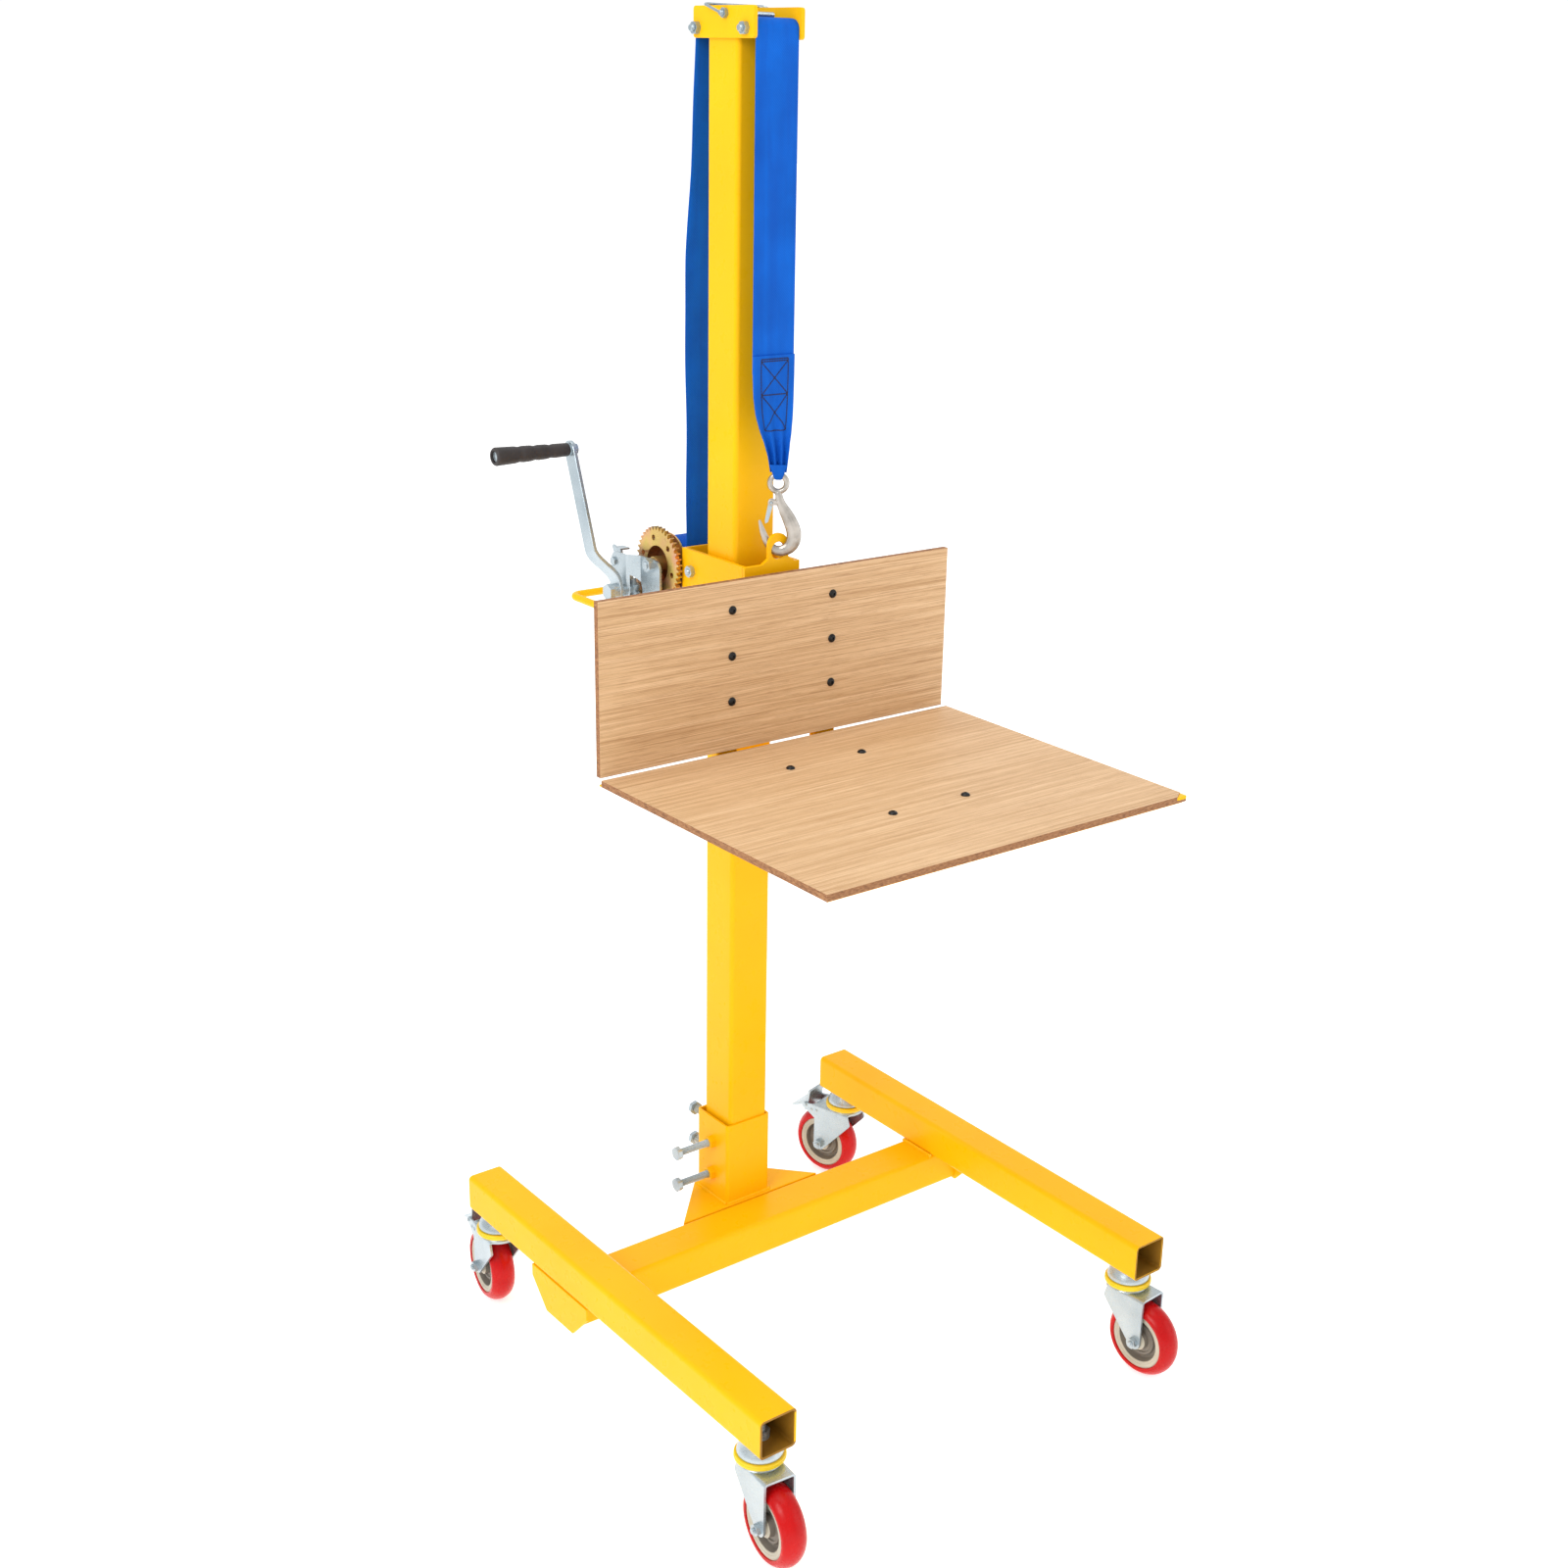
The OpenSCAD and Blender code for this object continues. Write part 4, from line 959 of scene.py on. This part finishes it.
def make_straps():
    """Webbing over the head rollers, down both sides of the mast and round the drum."""
    front_y, back_y = HEAD_ROLLERS_Y
    top_z, bend = HEAD_ROLLERS_Z, 11.2          # bend is the radius of the webbing's middle
    quarter = [math.pi / 2 * k / 9 for k in range(10)]
    arc = [(front_y - bend * math.cos(a), top_z + bend * math.sin(a)) for a in quarter]
    back = [(back_y + bend * math.sin(a), top_z + bend * math.cos(a)) for a in quarter]
    flat = [(front_y + (back_y - front_y) * k / 10, top_z + bend) for k in range(1, 10)]
    fit_out(ribbon("strap_over_head", arc + flat + back), "strap_top")

    front = [(front_y - bend, top_z - 427.5 * k / 95) for k in range(96)]
    widths = [STRAP_HALF if z > 1246 else min(29, end_shape(z - 8)[1] - 0.8) for _, z in front]
    obj = even(ribbon("strap_front_run", front, widths))
    paint(obj, MATERIALS["webbing"])
    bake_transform(obj)
    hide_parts("strap_front")

    points = [(back_y + bend, top_z), (56.2, 1560), (62.2, 1480), (69.2, 1410), (74.2, 1360),
              (75.2, 1300), (73.2, 1200), (72.6, 1100), (72.9, 995)]
    obj = even(ribbon("strap_back_run", curve(points, 9), ripple=0.8))
    paint(obj, MATERIALS["webbing"])
    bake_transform(obj)
    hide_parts("strap_back")

    turns, inner_r, layer = 9, 15.2, 1.97
    layers = []
    for k in range(turns):
        r = inner_r + layer * k
        layers += [(STRAP_HALF - 0.5, r), (STRAP_HALF, r + 0.5), (STRAP_HALF, r + 1.4),
                   (STRAP_HALF - 0.5, r + 1.9)]
    bm = bmesh.new()
    profile = layers + [(-x, r) for x, r in layers[::-1]]
    turned(bm, profile, shift(0, *DRUM), 72, closed=True)
    fit_out(new_object("strap_on_drum", bm, 24), "strap_coil")


# ---- the visual model ----

make_side_tube("side_tube_left", -TUBE_X)
make_side_tube("side_tube_right", TUBE_X)
make_welds()
make_pinion()
make_gear()
for softened, width in (
        ("cross_tube", 0.5), ("mast_tube", 0.5), ("end_gussets", 0.7), ("mast_plate", 0.7),
        ("mast_socket", 0.6), ("head_plates", 0.9), ("carriage_sides", 0.6),
        ("carriage_front", 0.7), ("carriage_back", 0.7), ("guide_pads", 0.5),
        ("push_handle", 0.5), ("board_frame", 0.5), ("deck_tray", 0.4), ("winch_frame", 0.6),
        ("winch_drum", 0.4), ("ratchet_pawl", 0.5), ("hook_latch", 0.35), ("brake_bl", 0.5),
        ("brake_br", 0.5), ("head_bail", 0.1), ("head_roller_front", 0.6),
        ("head_roller_back", 0.6), ("guide_roller_upper", 0.8), ("guide_roller_lower", 0.8)):
    soften(softened, width)

for caster in CASTERS:
    make_fork(caster)
    make_axle(caster)
    make_wheel(caster)
make_stems()
make_rings()
make_clamp_bolts()
make_head_bolts()
make_carriage_bolts()
make_board_screws()
make_crank()
make_grip()
make_hook()
make_board("back_board")
make_board("deck_board")
make_strap_end()
make_stitching()
make_straps()


# ---- studio and camera ----

def studio():
    """White surround, brighter behind the lift, with a pale floor and three soft lamps."""
    bpy.ops.mesh.primitive_plane_add(size=60.0, location=(0, 0, -0.0005))
    floor = bpy.context.active_object
    floor.name = "floor"
    s = Shader("floor")
    s.colour(s.ramp(s.noise(0.6, 2.0), (0.3, (0.80, 0.80, 0.80)), (0.7, (0.84, 0.84, 0.84))))
    s.set(Roughness=0.9, Specular_IOR_Level=0.1, Emission_Color=(1, 1, 1, 1), Emission_Strength=0.60)
    paint(floor, s.mat)
    floor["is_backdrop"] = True

    world = bpy.data.worlds.new("studio")
    bpy.context.scene.world = world
    world.use_nodes = True
    tree = world.node_tree
    direction = tree.nodes.new("ShaderNodeTexCoord").outputs["Generated"]
    facing = tree.nodes.new("ShaderNodeVectorMath")
    facing.operation = "DOT_PRODUCT"
    tree.links.new(direction, facing.inputs[0])
    facing.inputs[1].default_value = (0.63, 0.77, 0.0)      # away from the camera
    glow = tree.nodes.new("ShaderNodeMapRange")
    for key, value in (("From Min", 0.35), ("From Max", 0.80), ("To Min", 0.80), ("To Max", 1.06)):
        glow.inputs[key].default_value = value
    tree.links.new(facing.outputs["Value"], glow.inputs["Value"])
    tree.links.new(glow.outputs["Result"], tree.nodes["Background"].inputs["Strength"])
    tree.nodes["Background"].inputs["Color"].default_value = (1.0, 1.0, 1.0, 1)

    target = Vector((0, 0, 0.8))
    for name, place, size, power in (
            ("key", (-3.4, -1.2, 3.2), 1.8, 66.0),
            ("top", (-0.4, 0.2, 4.4), 2.4, 38.0),
            ("fill", (2.4, -3.2, 1.6), 2.6, 16.0)):
        light = bpy.data.lights.new(name, "AREA")
        light.size = size
        light.energy = power
        lamp = bpy.data.objects.new(name, light)
        bpy.context.collection.objects.link(lamp)
        lamp.location = place
        lamp.rotation_euler = (target - Vector(place)).to_track_quat("-Z", "Y").to_euler()


def camera():
    """Ahead and to the left of the lift, at about the height of the mast's top."""
    yaw, pitch, roll = map(math.radians, (-39.3, -19.6, 1.6))
    ahead = Vector((-math.sin(yaw) * math.cos(pitch), math.cos(yaw) * math.cos(pitch), math.sin(pitch)))
    side = Vector((math.cos(yaw), math.sin(yaw), 0))
    above = side.cross(ahead)
    right = side * math.cos(roll) + above * math.sin(roll)
    up = above * math.cos(roll) - side * math.sin(roll)
    data = bpy.data.cameras.new("camera")
    cam = bpy.data.objects.new("camera", data)
    bpy.context.collection.objects.link(cam)
    turn = Matrix((right, up, -ahead)).transposed().to_4x4()
    cam.matrix_world = Matrix.Translation((-1.4261, -1.8566, 1.575)) @ turn
    data.lens = 46.42
    data.shift_x = -0.0425
    data.shift_y = 0.0083
    data.clip_start = 0.05
    bpy.context.scene.camera = cam


studio()
camera()
bpy.context.scene.view_settings.view_transform = "Standard"

scene_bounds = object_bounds()
[[list(corner) for corner in box] for box in (cad_bounds, scene_bounds)]
